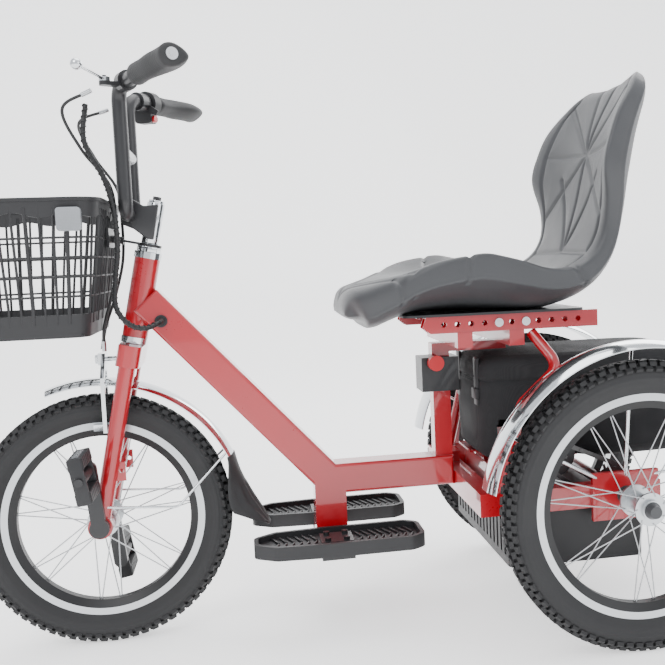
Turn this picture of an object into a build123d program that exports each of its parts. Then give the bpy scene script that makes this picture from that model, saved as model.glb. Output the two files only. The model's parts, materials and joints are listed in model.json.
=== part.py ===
"""Adult electric tricycle: two driven rear wheels, one steered front wheel with its own cranks,
a bucket seat on drilled rails, foot rests on a post and a basket in front of the handlebar.

Front points to -X, the rider's left is -Y and +Z is up.  The ground is Z = 0.
Every place is given by at(ahead, y, z), where ahead is the distance in front of the rear axle.
"""
import math
import os

from build123d import *

# ---- driving dimensions, mm ---------------------------------------------------------------
wheelbase = 815.0
half_track = 270.0
front_tyre_r, front_rim_r, front_tyre_w = 203.0, 158.5, 50.0
rear_tyre_r, rear_rim_r, rear_tyre_w = 221.0, 172.0, 48.0
rim_depth, rim_w, brake_track = 23.0, 28.0, 11.0
spoke_r, spokes_per_flange = 1.0, 14
flange_r, flange_t, flange_spread, hub_barrel_r = 25.0, 4.0, 27.0, 15.0
running_gap = 0.05
rest_gap = 0.3

frame_tube = 50.0
tube_wall = 2.5
head_angle = 12.2
head_bottom_z = 496.0
head_tube_len, head_tube_r = 128.0, 20.0
steerer_r = 12.7
cup_h = 10.0
main_tube_z = 240.0
bend_ahead = 449.0
main_tube_rear = 235.0
foot_post_ahead, foot_post_w = 449.0, 52.0
foot_post_bottom = 145.0

rail_half_span = 187.5
rail_w, rail_h = 25.0, 36.0
cross_tube_front = 235.0
cross_tube_w = 30.0
second_cross_ahead, second_cross_w = 155.0, 25.0
rail_tail = 62.0
axle_plate_t, axle_plate_w, axle_plate_h = 8.0, 110.0, 76.0
axle_r, bearing_r = 10.0, 15.0

seat_post_w, seat_post_ahead, seat_post_top = 30.0, 250.0, 444.0
carrier_tube = 25.0
seat_rail_y, seat_rail_w, seat_rail_h, seat_rail_wall = 110.0, 24.0, 27.0, 2.5
seat_rail_front, seat_rail_rear, seat_rail_top = 300.0, 7.0, 511.0
rail_hole_r, rail_hole_pitch, rail_hole_count, rail_hole_first = 4.5, 22.5, 11, 265.5
bolt_holes = (4, 6)

seat_half_w = 190.0
seat_plate_t = 4.0

fork_leg_y, fork_leg_r, fork_boss_r = 50.0, 13.0, 19.0
crown_z, crown_h = 470.0, 18.0
spindle_r = 8.0
crank_len, crank_w, crank_t, crank_angle = 96.0, 22.0, 11.0, 96.0
pedal_w, pedal_l, pedal_t, pedal_tilt = 82.0, 72.0, 23.0, 100.0
pedal_pin_r = 6.0

stem_top_z = 705.0
bar_r = 11.1
upright_ahead, upright_y, upright_bottom, upright_top = 747.0, 60.0, 690.0, 884.0
bar_end_ahead, bar_end_y, bar_end_z = 655.0, 255.0, 890.0
crossbar_z, crossbar_r = 785.0, 10.0
grip_r, grip_start = 16.0, 82.0
lever_clamp_at, lever_reach, lever_travel_gap, lever_t = 36.0, 32.0, 0.25, 6.0

basket_rear, basket_front = 776.0, 1050.0
basket_half_w, basket_bottom_z, basket_rim_z = 150.0, 507.0, 712.0
basket_taper, basket_wall = 28.0, 4.0

fender_gap, fender_w, fender_t, fender_crown = 20.0, 66.0, 1.5, 9.0
rear_fender_end, rear_fender_arc = 12.0, 158.0
front_fender_gap, front_fender_end, front_fender_arc = 16.0, 24.0, 86.0

battery_front, battery_rear, battery_half_w, battery_bottom = 185.0, -40.0, 180.0, 112.0
bag_front, bag_rear, bag_half_w, bag_bottom, bag_top = 205.0, -190.0, 118.0, 262.0, 440.0
motor_ahead, motor_z, motor_r, motor_len = 100.0, 282.0, 42.0, 76.0
chain_y, chain_pitch = 150.0, 12.7
axle_teeth, motor_teeth = 18, 11
chain_h, chain_w = 8.0, 7.0

foot_y, foot_w, foot_front, foot_rear = 95.0, 98.0, 580.0, 309.0
foot_floor, foot_rim_h, foot_rim_w = 13.0, 9.0, 7.0

# ---- places worked out from them ----------------------------------------------------------
rear_fender_r = rear_tyre_r + fender_gap
rear_reach = (rear_fender_r + fender_crown + fender_t) * math.cos(math.radians(rear_fender_end))
rear_x = (basket_front - rear_reach) / 2
front_hub = (rear_x - wheelbase, 0.0, front_tyre_r)
lean = math.radians(head_angle)
head_bottom_ahead = wheelbase - (head_bottom_z - front_tyre_r) * math.tan(lean)
side_rail_bottom = rear_tyre_r - rail_h / 2
side_rail_top = rear_tyre_r + rail_h / 2


def at(ahead, y, z):
    """A point given by its distance in front of the rear axle, its side and its height."""
    return (rear_x - ahead, y, z)


def on_steerer(z):
    """How far ahead of the rear axle the steering axis is at a height."""
    return head_bottom_ahead - (z - head_bottom_z) * math.tan(lean)


steer_dir = (math.sin(lean), 0.0, math.cos(lean))


def steer_plane(z, turn_y=0.0):
    """A plane square to the steering axis where that axis passes a height."""
    return Plane(origin=at(on_steerer(z), turn_y, z), x_dir=(math.cos(lean), 0, -math.sin(lean)), z_dir=steer_dir)


def side_plane(y):
    """A vertical plane along the tricycle: local x is forward, local y is up, its normal is +Y."""
    return Plane(origin=(rear_x, y, 0), x_dir=(-1, 0, 0), z_dir=(0, 1, 0))


def radial_plane(centre, angle):
    """A plane through a wheel's axle line at an angle up from the rear: local x is outwards."""
    a = math.radians(angle)
    return Plane(origin=centre, x_dir=(math.cos(a), 0, math.sin(a)), z_dir=(-math.sin(a), 0, math.cos(a)))


def between(start, end):
    """A plane at start that faces end, and the distance between the two."""
    run = Vector(end) - Vector(start)
    return Plane(origin=start, z_dir=run), run.length


def rod(start, end, radius):
    """A round bar from one point to another, added to the part that is open."""
    plane, length = between(start, end)
    with BuildSketch(plane) as section:
        Circle(radius)
    extrude(section.sketch, amount=length)


def y_cylinder(centre, radius, y_from, y_to, mode=Mode.ADD):
    """A cylinder along Y around the point (x, z) of centre."""
    with BuildSketch(Plane(origin=(centre[0], y_from, centre[2]), x_dir=(1, 0, 0), z_dir=(0, -1, 0))) as section:
        Circle(radius)
    extrude(section.sketch, amount=-(y_to - y_from), mode=mode)


def block(ahead_rear, ahead_front, y_from, y_to, z_from, z_to, mode=Mode.ADD):
    """A box between two distances ahead, two sides and two heights."""
    middle = at((ahead_rear + ahead_front) / 2, (y_from + y_to) / 2, (z_from + z_to) / 2)
    with Locations(middle):
        Box(ahead_front - ahead_rear, y_to - y_from, z_to - z_from, mode=mode)


def bend_radii(points):
    """The largest even arcs that each corner's two runs leave room for."""
    vectors = [Vector(*p) for p in points]
    runs = [b - a for a, b in zip(vectors, vectors[1:])]
    radii = []
    for before, after in zip(runs, runs[1:]):
        half_turn = math.radians(before.get_angle(after)) / 2
        radii.append(0.45 * min(before.length, after.length) / math.tan(half_turn))
    return radii


def swept(points, radius, radii):
    """A round tube or cable along straight runs joined by arcs, added to the part that is open."""
    with BuildLine() as path:
        FilletPolyline(*points, radius=radii)
    with BuildSketch(Plane(origin=path.line @ 0, z_dir=path.line % 0)) as section:
        Circle(radius)
    sweep(section.sketch, path=path.line)


def save(name, builder):
    """Label a finished piece and write it."""
    builder.part.label = name
    export_step(builder.part, f"parts/{name}.step")


os.makedirs("parts", exist_ok=True)

# ---- wheels -------------------------------------------------------------------------------


def tyre(name, centre, tyre_r, rim_r, width):
    height = tyre_r - rim_r + 3
    with BuildPart() as part:
        with BuildSketch(Plane(origin=centre)):
            with Locations((tyre_r - height / 2, 0)):
                Ellipse(height / 2, width / 2)
            with Locations((rim_r - rim_depth / 2, 0)):
                Rectangle(rim_depth, rim_w, mode=Mode.SUBTRACT)
        revolve(axis=Axis(centre, (0, 1, 0)))
    save(name, part)


def rim(name, centre, rim_r):
    with BuildPart() as part:
        with BuildSketch(Plane(origin=centre)):
            with BuildLine():
                Polyline(
                    (rim_r, -rim_w / 2), (rim_r, rim_w / 2), (rim_r - brake_track, rim_w / 2),
                    (rim_r - rim_depth, rim_w / 4), (rim_r - rim_depth, -rim_w / 4),
                    (rim_r - brake_track, -rim_w / 2), close=True,
                )
            make_face()
        revolve(axis=Axis(centre, (0, 1, 0)))
    save(name, part)


def spokes(name, centre, rim_r):
    step = 360 / spokes_per_flange
    with BuildPart() as part:
        for side in (-1, 1):
            for index in range(spokes_per_flange):
                lean_way = 1 if index % 2 else -1
                foot = math.radians(step * index + step / 4 * side)
                tip = foot + math.radians(38 * lean_way)
                hole_y = side * (flange_spread + lean_way * (flange_t / 2 + spoke_r))
                start = (centre[0] + (flange_r - 4) * math.cos(foot), centre[1] + hole_y,
                         centre[2] + (flange_r - 4) * math.sin(foot))
                reach = rim_r - rim_depth + 1.5
                end = (centre[0] + reach * math.cos(tip), centre[1] + side * 3,
                       centre[2] + reach * math.sin(tip))
                rod(start, end, spoke_r)
    save(name, part)


def hub(name, centre, bore_r):
    with BuildPart() as part:
        y_cylinder(centre, hub_barrel_r, centre[1] - flange_spread - 8, centre[1] + flange_spread + 8)
        for side in (-1, 1):
            edge = centre[1] + side * flange_spread
            y_cylinder(centre, flange_r, edge - flange_t / 2, edge + flange_t / 2)
        y_cylinder(centre, bore_r, centre[1] - 100, centre[1] + 100, mode=Mode.SUBTRACT)
    save(name, part)


tyre("front_tyre", front_hub, front_tyre_r, front_rim_r, front_tyre_w)
rim("front_rim", front_hub, front_rim_r)
spokes("front_spokes", front_hub, front_rim_r)
hub("front_hub", front_hub, spindle_r + running_gap)
for side, word in ((-1, "left"), (1, "right")):
    rear_hub_at = at(0, side * half_track, rear_tyre_r)
    tyre(f"rear_tyre_{word}", rear_hub_at, rear_tyre_r, rear_rim_r, rear_tyre_w)
    rim(f"rear_rim_{word}", rear_hub_at, rear_rim_r)
    spokes(f"rear_spokes_{word}", rear_hub_at, rear_rim_r)
    hub(f"rear_hub_{word}", rear_hub_at, axle_r + (running_gap if side > 0 else 0))

# ---- rear axle and drive ------------------------------------------------------------------
axle_centre = at(0, 0, rear_tyre_r)
hub_end = half_track + flange_spread + 8
axle_end = hub_end + 9
cap_gap = 0.4
with BuildPart() as rear_axle:
    y_cylinder(axle_centre, axle_r, -axle_end, axle_end)
    for side in (-1, 1):
        with BuildSketch(Plane(origin=(axle_centre[0], side * (hub_end + cap_gap), axle_centre[2]),
                               z_dir=(0, side, 0))):
            Circle(hub_barrel_r - 2)
        extrude(amount=12, taper=18)
save("rear_axle", rear_axle)

with BuildPart() as rear_bearings:
    for side in (-1, 1):
        inner, outer = side * (rail_half_span - rail_w / 2), side * (rail_half_span + rail_w / 2 + axle_plate_t)
        y_cylinder(axle_centre, bearing_r, min(inner, outer), max(inner, outer))
    y_cylinder(axle_centre, axle_r + running_gap, -300, 300, mode=Mode.SUBTRACT)
save("rear_bearings", rear_bearings)

axle_sprocket_r = chain_pitch / (2 * math.sin(math.pi / axle_teeth))
motor_sprocket_r = chain_pitch / (2 * math.sin(math.pi / motor_teeth))
sprocket_root_gap = 0.5
with BuildPart() as axle_sprocket:
    y_cylinder(axle_centre, axle_sprocket_r - chain_h / 2 - sprocket_root_gap, -chain_y - 2, -chain_y + 2)
    y_cylinder(axle_centre, 20, -chain_y - 14, -chain_y - 2)
    y_cylinder(axle_centre, axle_r, -chain_y - 20, -chain_y + 20, mode=Mode.SUBTRACT)
save("axle_sprocket", axle_sprocket)

motor_centre = at(motor_ahead, 0, motor_z)
motor_outer_y = -chain_y + 10
motor_shaft_r = 6.0
with BuildPart() as motor:
    y_cylinder(motor_centre, motor_r, motor_outer_y, motor_outer_y + motor_len)
    y_cylinder(motor_centre, motor_shaft_r + running_gap, motor_outer_y - 1, motor_outer_y + 40, mode=Mode.SUBTRACT)
save("motor", motor)

with BuildPart() as motor_sprocket:
    y_cylinder(motor_centre, motor_sprocket_r - chain_h / 2 - sprocket_root_gap, -chain_y - 2, -chain_y + 2)
    y_cylinder(motor_centre, motor_shaft_r, -chain_y - 6, motor_outer_y + 36)
save("motor_sprocket", motor_sprocket)

bracket_y = motor_outer_y + motor_len
with BuildPart() as chain:
    gap_vector = Vector(*motor_centre) - Vector(*axle_centre)
    slope = math.degrees(math.atan2(gap_vector.Z, gap_vector.X))
    taper = math.degrees(math.asin((axle_sprocket_r - motor_sprocket_r) / gap_vector.length))
    for grow, mode in ((chain_h / 2, Mode.ADD), (-chain_h / 2, Mode.SUBTRACT)):
        corners = []
        for centre, radius, sides in ((axle_centre, axle_sprocket_r + grow, (1, -1)),
                                      (motor_centre, motor_sprocket_r + grow, (-1, 1))):
            y_cylinder(centre, radius, -chain_y - chain_w / 2, -chain_y + chain_w / 2, mode=mode)
            for way in sides:
                a = math.radians(slope + way * (90 - taper))
                corners.append((-(centre[0] - rear_x) - radius * math.cos(a), centre[2] + radius * math.sin(a)))
        with BuildSketch(side_plane(-chain_y - chain_w / 2)):
            with BuildLine():
                Polyline(*corners, close=True)
            make_face()
        extrude(amount=chain_w, mode=mode)
save("chain", chain)

# ---- frame --------------------------------------------------------------------------------
head_top_z = head_bottom_z + head_tube_len * math.cos(lean)
down_start_z = head_bottom_z + 66
half_tube = frame_tube / 2
grommet_ahead, grommet_z = on_steerer(down_start_z) - 30, down_start_z - 42
grommet_at = at(grommet_ahead, 0, grommet_z)


def spine_band(half, trim):
    """Outline of the down tube and main tube as one mitred band, half its depth each side."""
    start = Vector(on_steerer(down_start_z), down_start_z)
    bend = Vector(bend_ahead, main_tube_z)
    end = Vector(main_tube_rear + trim, main_tube_z)
    fall = (bend - start).normalized()
    start = start + fall * (trim + 10)
    normal = Vector(-fall.Y, fall.X)
    miter = (normal + Vector(0, -1)).normalized()
    reach = half / miter.dot(normal)
    return [start + normal * half, bend + miter * reach, end + Vector(0, -half),
            end + Vector(0, half), bend - miter * reach, start - normal * half]


with BuildPart() as main_frame:
    with BuildSketch(side_plane(-half_tube)):
        with BuildLine():
            Polyline(*[(p.X, p.Y) for p in spine_band(half_tube, 0)], close=True)
        make_face()
    extrude(amount=frame_tube)
    fillet(main_frame.edges().filter_by(lambda e: abs(abs(e.center().Y) - half_tube) < 0.01), radius=5)
    block(foot_post_ahead - foot_post_w / 2, foot_post_ahead + foot_post_w / 2, -half_tube, half_tube,
          foot_post_bottom, main_tube_z)
    block(seat_post_ahead - seat_post_w / 2, seat_post_ahead + seat_post_w / 2,
          -seat_post_w / 2, seat_post_w / 2, main_tube_z, seat_post_top)
    block(cross_tube_front - cross_tube_w, cross_tube_front, -rail_half_span, rail_half_span,
          side_rail_bottom, side_rail_top)
    for side in (-1, 1):
        y = side * rail_half_span
        block(-rail_tail, cross_tube_front, y - rail_w / 2, y + rail_w / 2, side_rail_bottom, side_rail_top)
        outer = y + side * (rail_w / 2 + axle_plate_t / 2)
        block(-axle_plate_w / 2, axle_plate_w / 2, outer - axle_plate_t / 2, outer + axle_plate_t / 2,
              rear_tyre_r - axle_plate_h / 2, rear_tyre_r + axle_plate_h / 2)
    block(second_cross_ahead - second_cross_w / 2, second_cross_ahead + second_cross_w / 2,
          -rail_half_span, rail_half_span, side_rail_bottom, side_rail_top)
    with BuildSketch(steer_plane(head_bottom_z)):
        Circle(head_tube_r)
    extrude(amount=head_tube_len)
    # hollows: the head tube's bore, the spine with its cable hole, and the bearing seats
    with BuildSketch(steer_plane(head_bottom_z)):
        Circle(head_tube_r - tube_wall)
    extrude(amount=head_tube_len, mode=Mode.SUBTRACT)
    with BuildSketch(side_plane(-half_tube + tube_wall)):
        with BuildLine():
            Polyline(*[(p.X, p.Y) for p in spine_band(half_tube - tube_wall, 30)], close=True)
        make_face()
    extrude(amount=frame_tube - 2 * tube_wall, mode=Mode.SUBTRACT)
    y_cylinder(grommet_at, 7, -half_tube - 1, 0, mode=Mode.SUBTRACT)
    y_cylinder(axle_centre, bearing_r, -300, 300, mode=Mode.SUBTRACT)
save("main_frame", main_frame)

with BuildPart() as head_cups:
    for start in (head_bottom_z - cup_h * math.cos(lean), head_top_z):
        with BuildSketch(steer_plane(start)):
            Circle(head_tube_r + 1.5)
            Circle(steerer_r + running_gap, mode=Mode.SUBTRACT)
        extrude(amount=cup_h)
save("head_cups", head_cups)

with BuildPart() as cable_grommet:
    y_cylinder(grommet_at, 7, -half_tube, -half_tube + tube_wall)
    y_cylinder(grommet_at, 10, -half_tube - 3, -half_tube)
    y_cylinder(grommet_at, 5.4, -half_tube - 4, 0, mode=Mode.SUBTRACT)
save("cable_grommet", cable_grommet)

stay_r = 9.0
rail_bottom = seat_rail_top - seat_rail_h
with BuildPart() as rear_stays:
    for side in (-1, 1):
        swept([at(118, side * seat_rail_y, rail_bottom - 6), at(84, side * 148, 424),
               at(162, side * rail_half_span, 372), at(196, side * rail_half_span, side_rail_top - 2)],
              stay_r, [30, 26])
save("rear_stays", rear_stays)

# ---- seat and its carrier -----------------------------------------------------------------
carrier_z = seat_post_top
with BuildPart() as seat_carrier:
    block(134, seat_post_ahead + seat_post_w / 2, -seat_post_w / 2, seat_post_w / 2,
          carrier_z, rail_bottom - carrier_tube)
    for ahead in (232, 146):
        block(ahead - carrier_tube / 2, ahead + carrier_tube / 2, -seat_rail_y - 14, seat_rail_y + 14,
              rail_bottom - carrier_tube, rail_bottom)
save("seat_carrier", seat_carrier)

with BuildPart() as seat_rails:
    for side in (-1, 1):
        y = side * seat_rail_y
        with BuildSketch(side_plane(y - seat_rail_w / 2)):
            with BuildLine():
                Polyline((seat_rail_rear, rail_bottom), (seat_rail_front - 12, rail_bottom),
                         (seat_rail_front, rail_bottom + 10), (seat_rail_front - 6, seat_rail_top),
                         (seat_rail_rear, seat_rail_top), close=True)
            make_face()
        extrude(amount=seat_rail_w)
        block(seat_rail_rear - 1, seat_rail_front + 1, y - seat_rail_w / 2 + seat_rail_wall,
              y + seat_rail_w / 2 - seat_rail_wall, rail_bottom - 1, seat_rail_top - seat_rail_wall,
              mode=Mode.SUBTRACT)
    for index in range(rail_hole_count):
        hole = at(rail_hole_first - index * rail_hole_pitch, 0, rail_bottom + seat_rail_h / 2)
        y_cylinder(hole, rail_hole_r, -seat_rail_y - 30, seat_rail_y + 30, mode=Mode.SUBTRACT)
save("seat_rails", seat_rails)

with BuildPart() as seat_bolts:
    for side in (-1, 1):
        outside = seat_rail_y + seat_rail_w / 2
        for index in bolt_holes:
            centre = at(rail_hole_first - index * rail_hole_pitch, 0, rail_bottom + seat_rail_h / 2)
            low, high = sorted((side * (outside - seat_rail_w - 2), side * outside))
            y_cylinder(centre, rail_hole_r, low, high)
            low, high = sorted((side * outside, side * (outside + 5)))
            y_cylinder(centre, 7, low, high)
save("seat_bolts", seat_bolts)

with BuildPart() as seat_plate:
    block(30, 330, -seat_rail_y - 20, seat_rail_y + 20, seat_rail_top, seat_rail_top + seat_plate_t)
    fillet(seat_plate.edges().filter_by(Axis.Z), radius=18)
save("seat_plate", seat_plate)

seat_floor = seat_rail_top + seat_plate_t
with BuildPart() as seat_cushion:
    with BuildSketch(side_plane(-seat_half_w)):
        with BuildLine():
            Spline((60, seat_floor), (-18, 571), (-72, 735), (-106, 890))
            Line((-106, 890), (-101, 904))
            Line((-101, 904), (-84, 902))
            Spline((-84, 902), (-46, 745), (24, 615), (120, 580), (215, 606), (330, 600), (436, 548))
            Spline((436, 548), (440, 522), (404, seat_floor))
            Line((404, seat_floor), (60, seat_floor))
        make_face()
    extrude(amount=2 * seat_half_w)
    with BuildSketch(Plane.XY.offset(400)):
        with BuildLine():
            Polyline(at(120, -seat_half_w, 0)[:2], at(300, -seat_half_w, 0)[:2], at(400, -150, 0)[:2],
                     at(445, -70, 0)[:2], at(445, 70, 0)[:2], at(400, 150, 0)[:2],
                     at(300, seat_half_w, 0)[:2], at(120, seat_half_w, 0)[:2], at(-30, 175, 0)[:2],
                     at(-130, 175, 0)[:2], at(-130, -175, 0)[:2], at(-30, -175, 0)[:2], close=True)
        make_face()
    extrude(amount=600, mode=Mode.INTERSECT)
    with BuildSketch(Plane(origin=at(-200, 0, 0), x_dir=(0, -1, 0), z_dir=(-1, 0, 0))):
        with BuildLine():
            Polyline((-200, 500), (200, 500), (200, 600), (170, 700), (182, 770), (150, 870), (100, 905),
                     (-100, 905), (-150, 870), (-182, 770), (-170, 700), (-200, 600), close=True)
        make_face()
    extrude(amount=800, mode=Mode.INTERSECT)
    block(70, 390, -120, 120, 575, 640, mode=Mode.SUBTRACT)
save("seat_cushion", seat_cushion)

with BuildPart() as post_clamp:
    block(seat_post_ahead - 28, seat_post_ahead + 36, -28, 28, 378, seat_post_top - 8)
    block(seat_post_ahead - seat_post_w / 2, seat_post_ahead + seat_post_w / 2,
          -seat_post_w / 2, seat_post_w / 2, 370, 450, mode=Mode.SUBTRACT)
save("post_clamp", post_clamp)

knob_centre = at(seat_post_ahead + 14, 0, 428)
knob_shaft_r = 4.0
with BuildPart() as clamp_knob:
    y_cylinder(knob_centre, 13, -48, -32)
    y_cylinder(knob_centre, knob_shaft_r, -32, -28.3)
save("clamp_knob", clamp_knob)

# ---- foot rests ---------------------------------------------------------------------------
foot_bar_t = 9.0
clamp_plate_t, clamp_plate_w = 5.0, 52.0
with BuildPart() as foot_rests:
    outline = [(foot_rear, 0.34), (foot_rear + 22, 0.5), (foot_front - 110, 0.5), (foot_front - 34, 0.44),
               (foot_front, 0.2)]
    corners = [(a, -s * foot_w) for a, s in outline] + [(a, s * foot_w) for a, s in reversed(outline)]
    for side in (-1, 1):
        with BuildSketch(Plane.XY.offset(foot_post_bottom)) as sole:
            with BuildLine():
                Polyline(*[at(a, side * foot_y + w, 0)[:2] for a, w in corners], close=True)
            make_face()
            fillet(sole.vertices(), radius=18)
        extrude(amount=foot_floor + foot_rim_h)
        with BuildSketch(Plane.XY.offset(foot_post_bottom + foot_floor)):
            add(sole.sketch.moved(Location((0, 0, -foot_post_bottom))))
            offset(amount=-foot_rim_w, mode=Mode.REPLACE)
        extrude(amount=foot_rim_h + 1, mode=Mode.SUBTRACT)
save("foot_rests", foot_rests)

with BuildPart() as foot_clamps:
    post_rear, post_front = foot_post_ahead - foot_post_w / 2, foot_post_ahead + foot_post_w / 2
    block(post_rear, post_front, -foot_y - foot_w / 2 + 14, foot_y + foot_w / 2 - 14,
          foot_post_bottom - foot_bar_t, foot_post_bottom)
    plate_bottom = foot_post_bottom + foot_floor
    for side in (-1, 1):
        y = side * foot_y
        block(post_rear, post_front, y - clamp_plate_w / 2, y + clamp_plate_w / 2, plate_bottom,
              plate_bottom + clamp_plate_t)
        with Locations(at(foot_post_ahead, y, plate_bottom + clamp_plate_t + 2.5)):
            with GridLocations(30, 34, 2, 2):
                Cylinder(5, 5)
save("foot_clamps", foot_clamps)

# ---- battery, bag and fenders -------------------------------------------------------------
rib_pitch, rib_depth, rib_w = 22.0, 5.0, 9.0
with BuildPart() as battery_case:
    block(battery_rear, battery_front, -battery_half_w, battery_half_w, battery_bottom, side_rail_bottom)
    fillet(battery_case.edges().filter_by(Axis.Z), radius=10)
    for index in range(-7, 8):
        block(battery_front - rib_depth, battery_front + 1, index * rib_pitch - rib_w / 2,
              index * rib_pitch + rib_w / 2, battery_bottom + 14, side_rail_bottom - 10, mode=Mode.SUBTRACT)
    block(battery_rear - 1, 66, -chain_y - 20, -chain_y + 14, 168, side_rail_bottom + 1, mode=Mode.SUBTRACT)
save("battery_case", battery_case)

with BuildPart() as storage_bag:
    block(bag_rear, bag_front, -bag_half_w, bag_half_w, bag_bottom, bag_top)
    fillet(storage_bag.edges().filter_by(Axis.Z), radius=25)
    block(motor_ahead - 78, motor_ahead + 74, -bag_half_w - 1, bracket_y + 20, bag_bottom - 1, motor_z + 52,
          mode=Mode.SUBTRACT)
save("storage_bag", storage_bag)

tray_t = 4.0
with BuildPart() as rear_brackets:
    block(motor_ahead - 46, second_cross_ahead + second_cross_w / 2, bracket_y, bracket_y + 5,
          side_rail_top, motor_z + 34)
    block(bag_rear + 10, bag_front - 10, 20, bag_half_w - 12, bag_bottom - tray_t, bag_bottom)
    for ahead in (second_cross_ahead, cross_tube_front - cross_tube_w / 2):
        block(ahead - 10, ahead + 10, 40, bag_half_w - 20, side_rail_top, bag_bottom - tray_t)
save("rear_brackets", rear_brackets)


def fender_shell(centre, radius, width, start_angle, arc):
    """A crowned mudguard round a wheel, added to the part that is open."""
    with BuildSketch(radial_plane(centre, start_angle)) as section:
        with BuildLine():
            inside = ThreePointArc((radius, -width / 2), (radius + fender_crown, 0), (radius, width / 2))
            outside = ThreePointArc((radius + fender_t, -width / 2), (radius + fender_crown + fender_t, 0),
                                    (radius + fender_t, width / 2))
            Line(inside @ 0, outside @ 0)
            Line(inside @ 1, outside @ 1)
        make_face()
    revolve(section.sketch, axis=Axis(centre, (0, -1, 0)), revolution_arc=arc)


with BuildPart() as rear_fenders:
    for side in (-1, 1):
        fender_shell(at(0, side * half_track, rear_tyre_r), rear_fender_r, fender_w, rear_fender_end, rear_fender_arc)
save("rear_fenders", rear_fenders)

with BuildPart() as fender_stays:
    for side in (-1, 1):
        inner, outer = side * (rail_half_span + rail_w / 2 + axle_plate_t), side * (half_track - fender_w / 2 + 2)
        for angle, foot in ((rear_fender_end + 3, -48), (150, 48), (90, 0)):
            a = math.radians(angle)
            tip = at(-(rear_fender_r + 1) * math.cos(a), outer, rear_tyre_r + (rear_fender_r + 1) * math.sin(a))
            rod(at(foot, inner - side * 3, rear_tyre_r + 30), tip, 3)
save("fender_stays", fender_stays)

# ---- fork, steering and front wheel fittings -----------------------------------------------
steerer_top_z = stem_top_z - 46
with BuildPart() as fork:
    with BuildSketch(steer_plane(crown_z)):
        Circle(steerer_r)
    extrude(amount=(steerer_top_z - crown_z) / math.cos(lean))
    with BuildSketch(steer_plane(crown_z - crown_h)):
        RectangleRounded(36, 2 * (fork_leg_y + fork_leg_r), 12)
    extrude(amount=crown_h + (head_bottom_z - crown_z) / math.cos(lean) - cup_h - rest_gap)
    for side in (-1, 1):
        top = at(on_steerer(crown_z), side * fork_leg_y, crown_z)
        foot = (front_hub[0], side * fork_leg_y, front_hub[2])
        rod(top, foot, fork_leg_r)
        y_cylinder(front_hub, fork_boss_r, side * fork_leg_y - fork_leg_r - 0.2, side * fork_leg_y + fork_leg_r + 0.2)
        block(on_steerer(288) - 24, on_steerer(288) - 8, side * fork_leg_y - 2, side * fork_leg_y + 2, 272, 302)
        y_cylinder(at(on_steerer(288) - 18, 0, 288), 3.5, side * fork_leg_y - 3, side * fork_leg_y + 3,
                   mode=Mode.SUBTRACT)
    y_cylinder(front_hub, spindle_r + running_gap, -90, 90, mode=Mode.SUBTRACT)
save("fork", fork)

with BuildPart() as stem:
    with BuildSketch(steer_plane(head_top_z + (cup_h + rest_gap) * math.cos(lean))):
        RegularPolygon(19, 8)
        Circle(steerer_r, mode=Mode.SUBTRACT)
    extrude(amount=9)
    with BuildSketch(steer_plane(steerer_top_z)):
        Circle(11)
    extrude(amount=46 / math.cos(lean))
    with BuildSketch(steer_plane(stem_top_z)):
        RegularPolygon(8, 6)
    extrude(amount=8)
    with BuildSketch(side_plane(-24)):
        with BuildLine():
            stem_ahead = on_steerer(stem_top_z)
            Polyline((stem_ahead - 16, 664), (stem_ahead - 14, 702), (upright_ahead - 8, 716),
                     (upright_ahead + 14, 716), (upright_ahead + 12, 676), close=True)
        make_face()
    extrude(amount=48)
save("stem", stem)


def upright_foot(side):
    return at(upright_ahead, side * upright_y, upright_bottom)


def bar_top(side):
    return at(upright_ahead, side * upright_y, upright_top)


def bar_end(side):
    return at(bar_end_ahead, side * bar_end_y, bar_end_z)


def bar_plane(side, distance):
    """A plane square to one side's grip, that far out from the top of its upright; local x is forward."""
    run = (Vector(*bar_end(side)) - Vector(*bar_top(side))).normalized()
    forward = Vector(-abs(run.Y), side * run.X, 0).normalized()
    return Plane(origin=Vector(*bar_top(side)) + run * distance, x_dir=forward, z_dir=run)


bar_length = (Vector(*bar_end(1)) - Vector(*bar_top(1))).length
with BuildPart() as handlebar:
    swept([bar_end(-1), bar_top(-1), upright_foot(-1), upright_foot(1), bar_top(1), bar_end(1)],
          bar_r, [26, 22, 22, 26])
    add(stem.part, mode=Mode.SUBTRACT)
save("handlebar", handlebar)

with BuildPart() as crossbar:
    rod(at(upright_ahead, -upright_y + bar_r, crossbar_z), at(upright_ahead, upright_y - bar_r, crossbar_z),
        crossbar_r)
save("crossbar", crossbar)

with BuildPart() as grips:
    for side in (-1, 1):
        with BuildSketch(bar_plane(side, grip_start)):
            Circle(grip_r)
            with Locations((-12, 0)):
                Ellipse(18, 9)
        extrude(amount=bar_length - grip_start + 4)
        with BuildSketch(bar_plane(side, grip_start)):
            Circle(bar_r)
        extrude(amount=bar_length - grip_start, mode=Mode.SUBTRACT)
save("grips", grips)


def lever_pivot(side):
    """The upright plane of one brake lever's pivot, just ahead of the bar."""
    clamp = bar_plane(side, lever_clamp_at)
    pivot = clamp.from_local_coords((lever_reach, 0, 0))
    return Plane(origin=(pivot.X, pivot.Y, pivot.Z), x_dir=clamp.x_dir, z_dir=(0, 0, 1))


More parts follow.
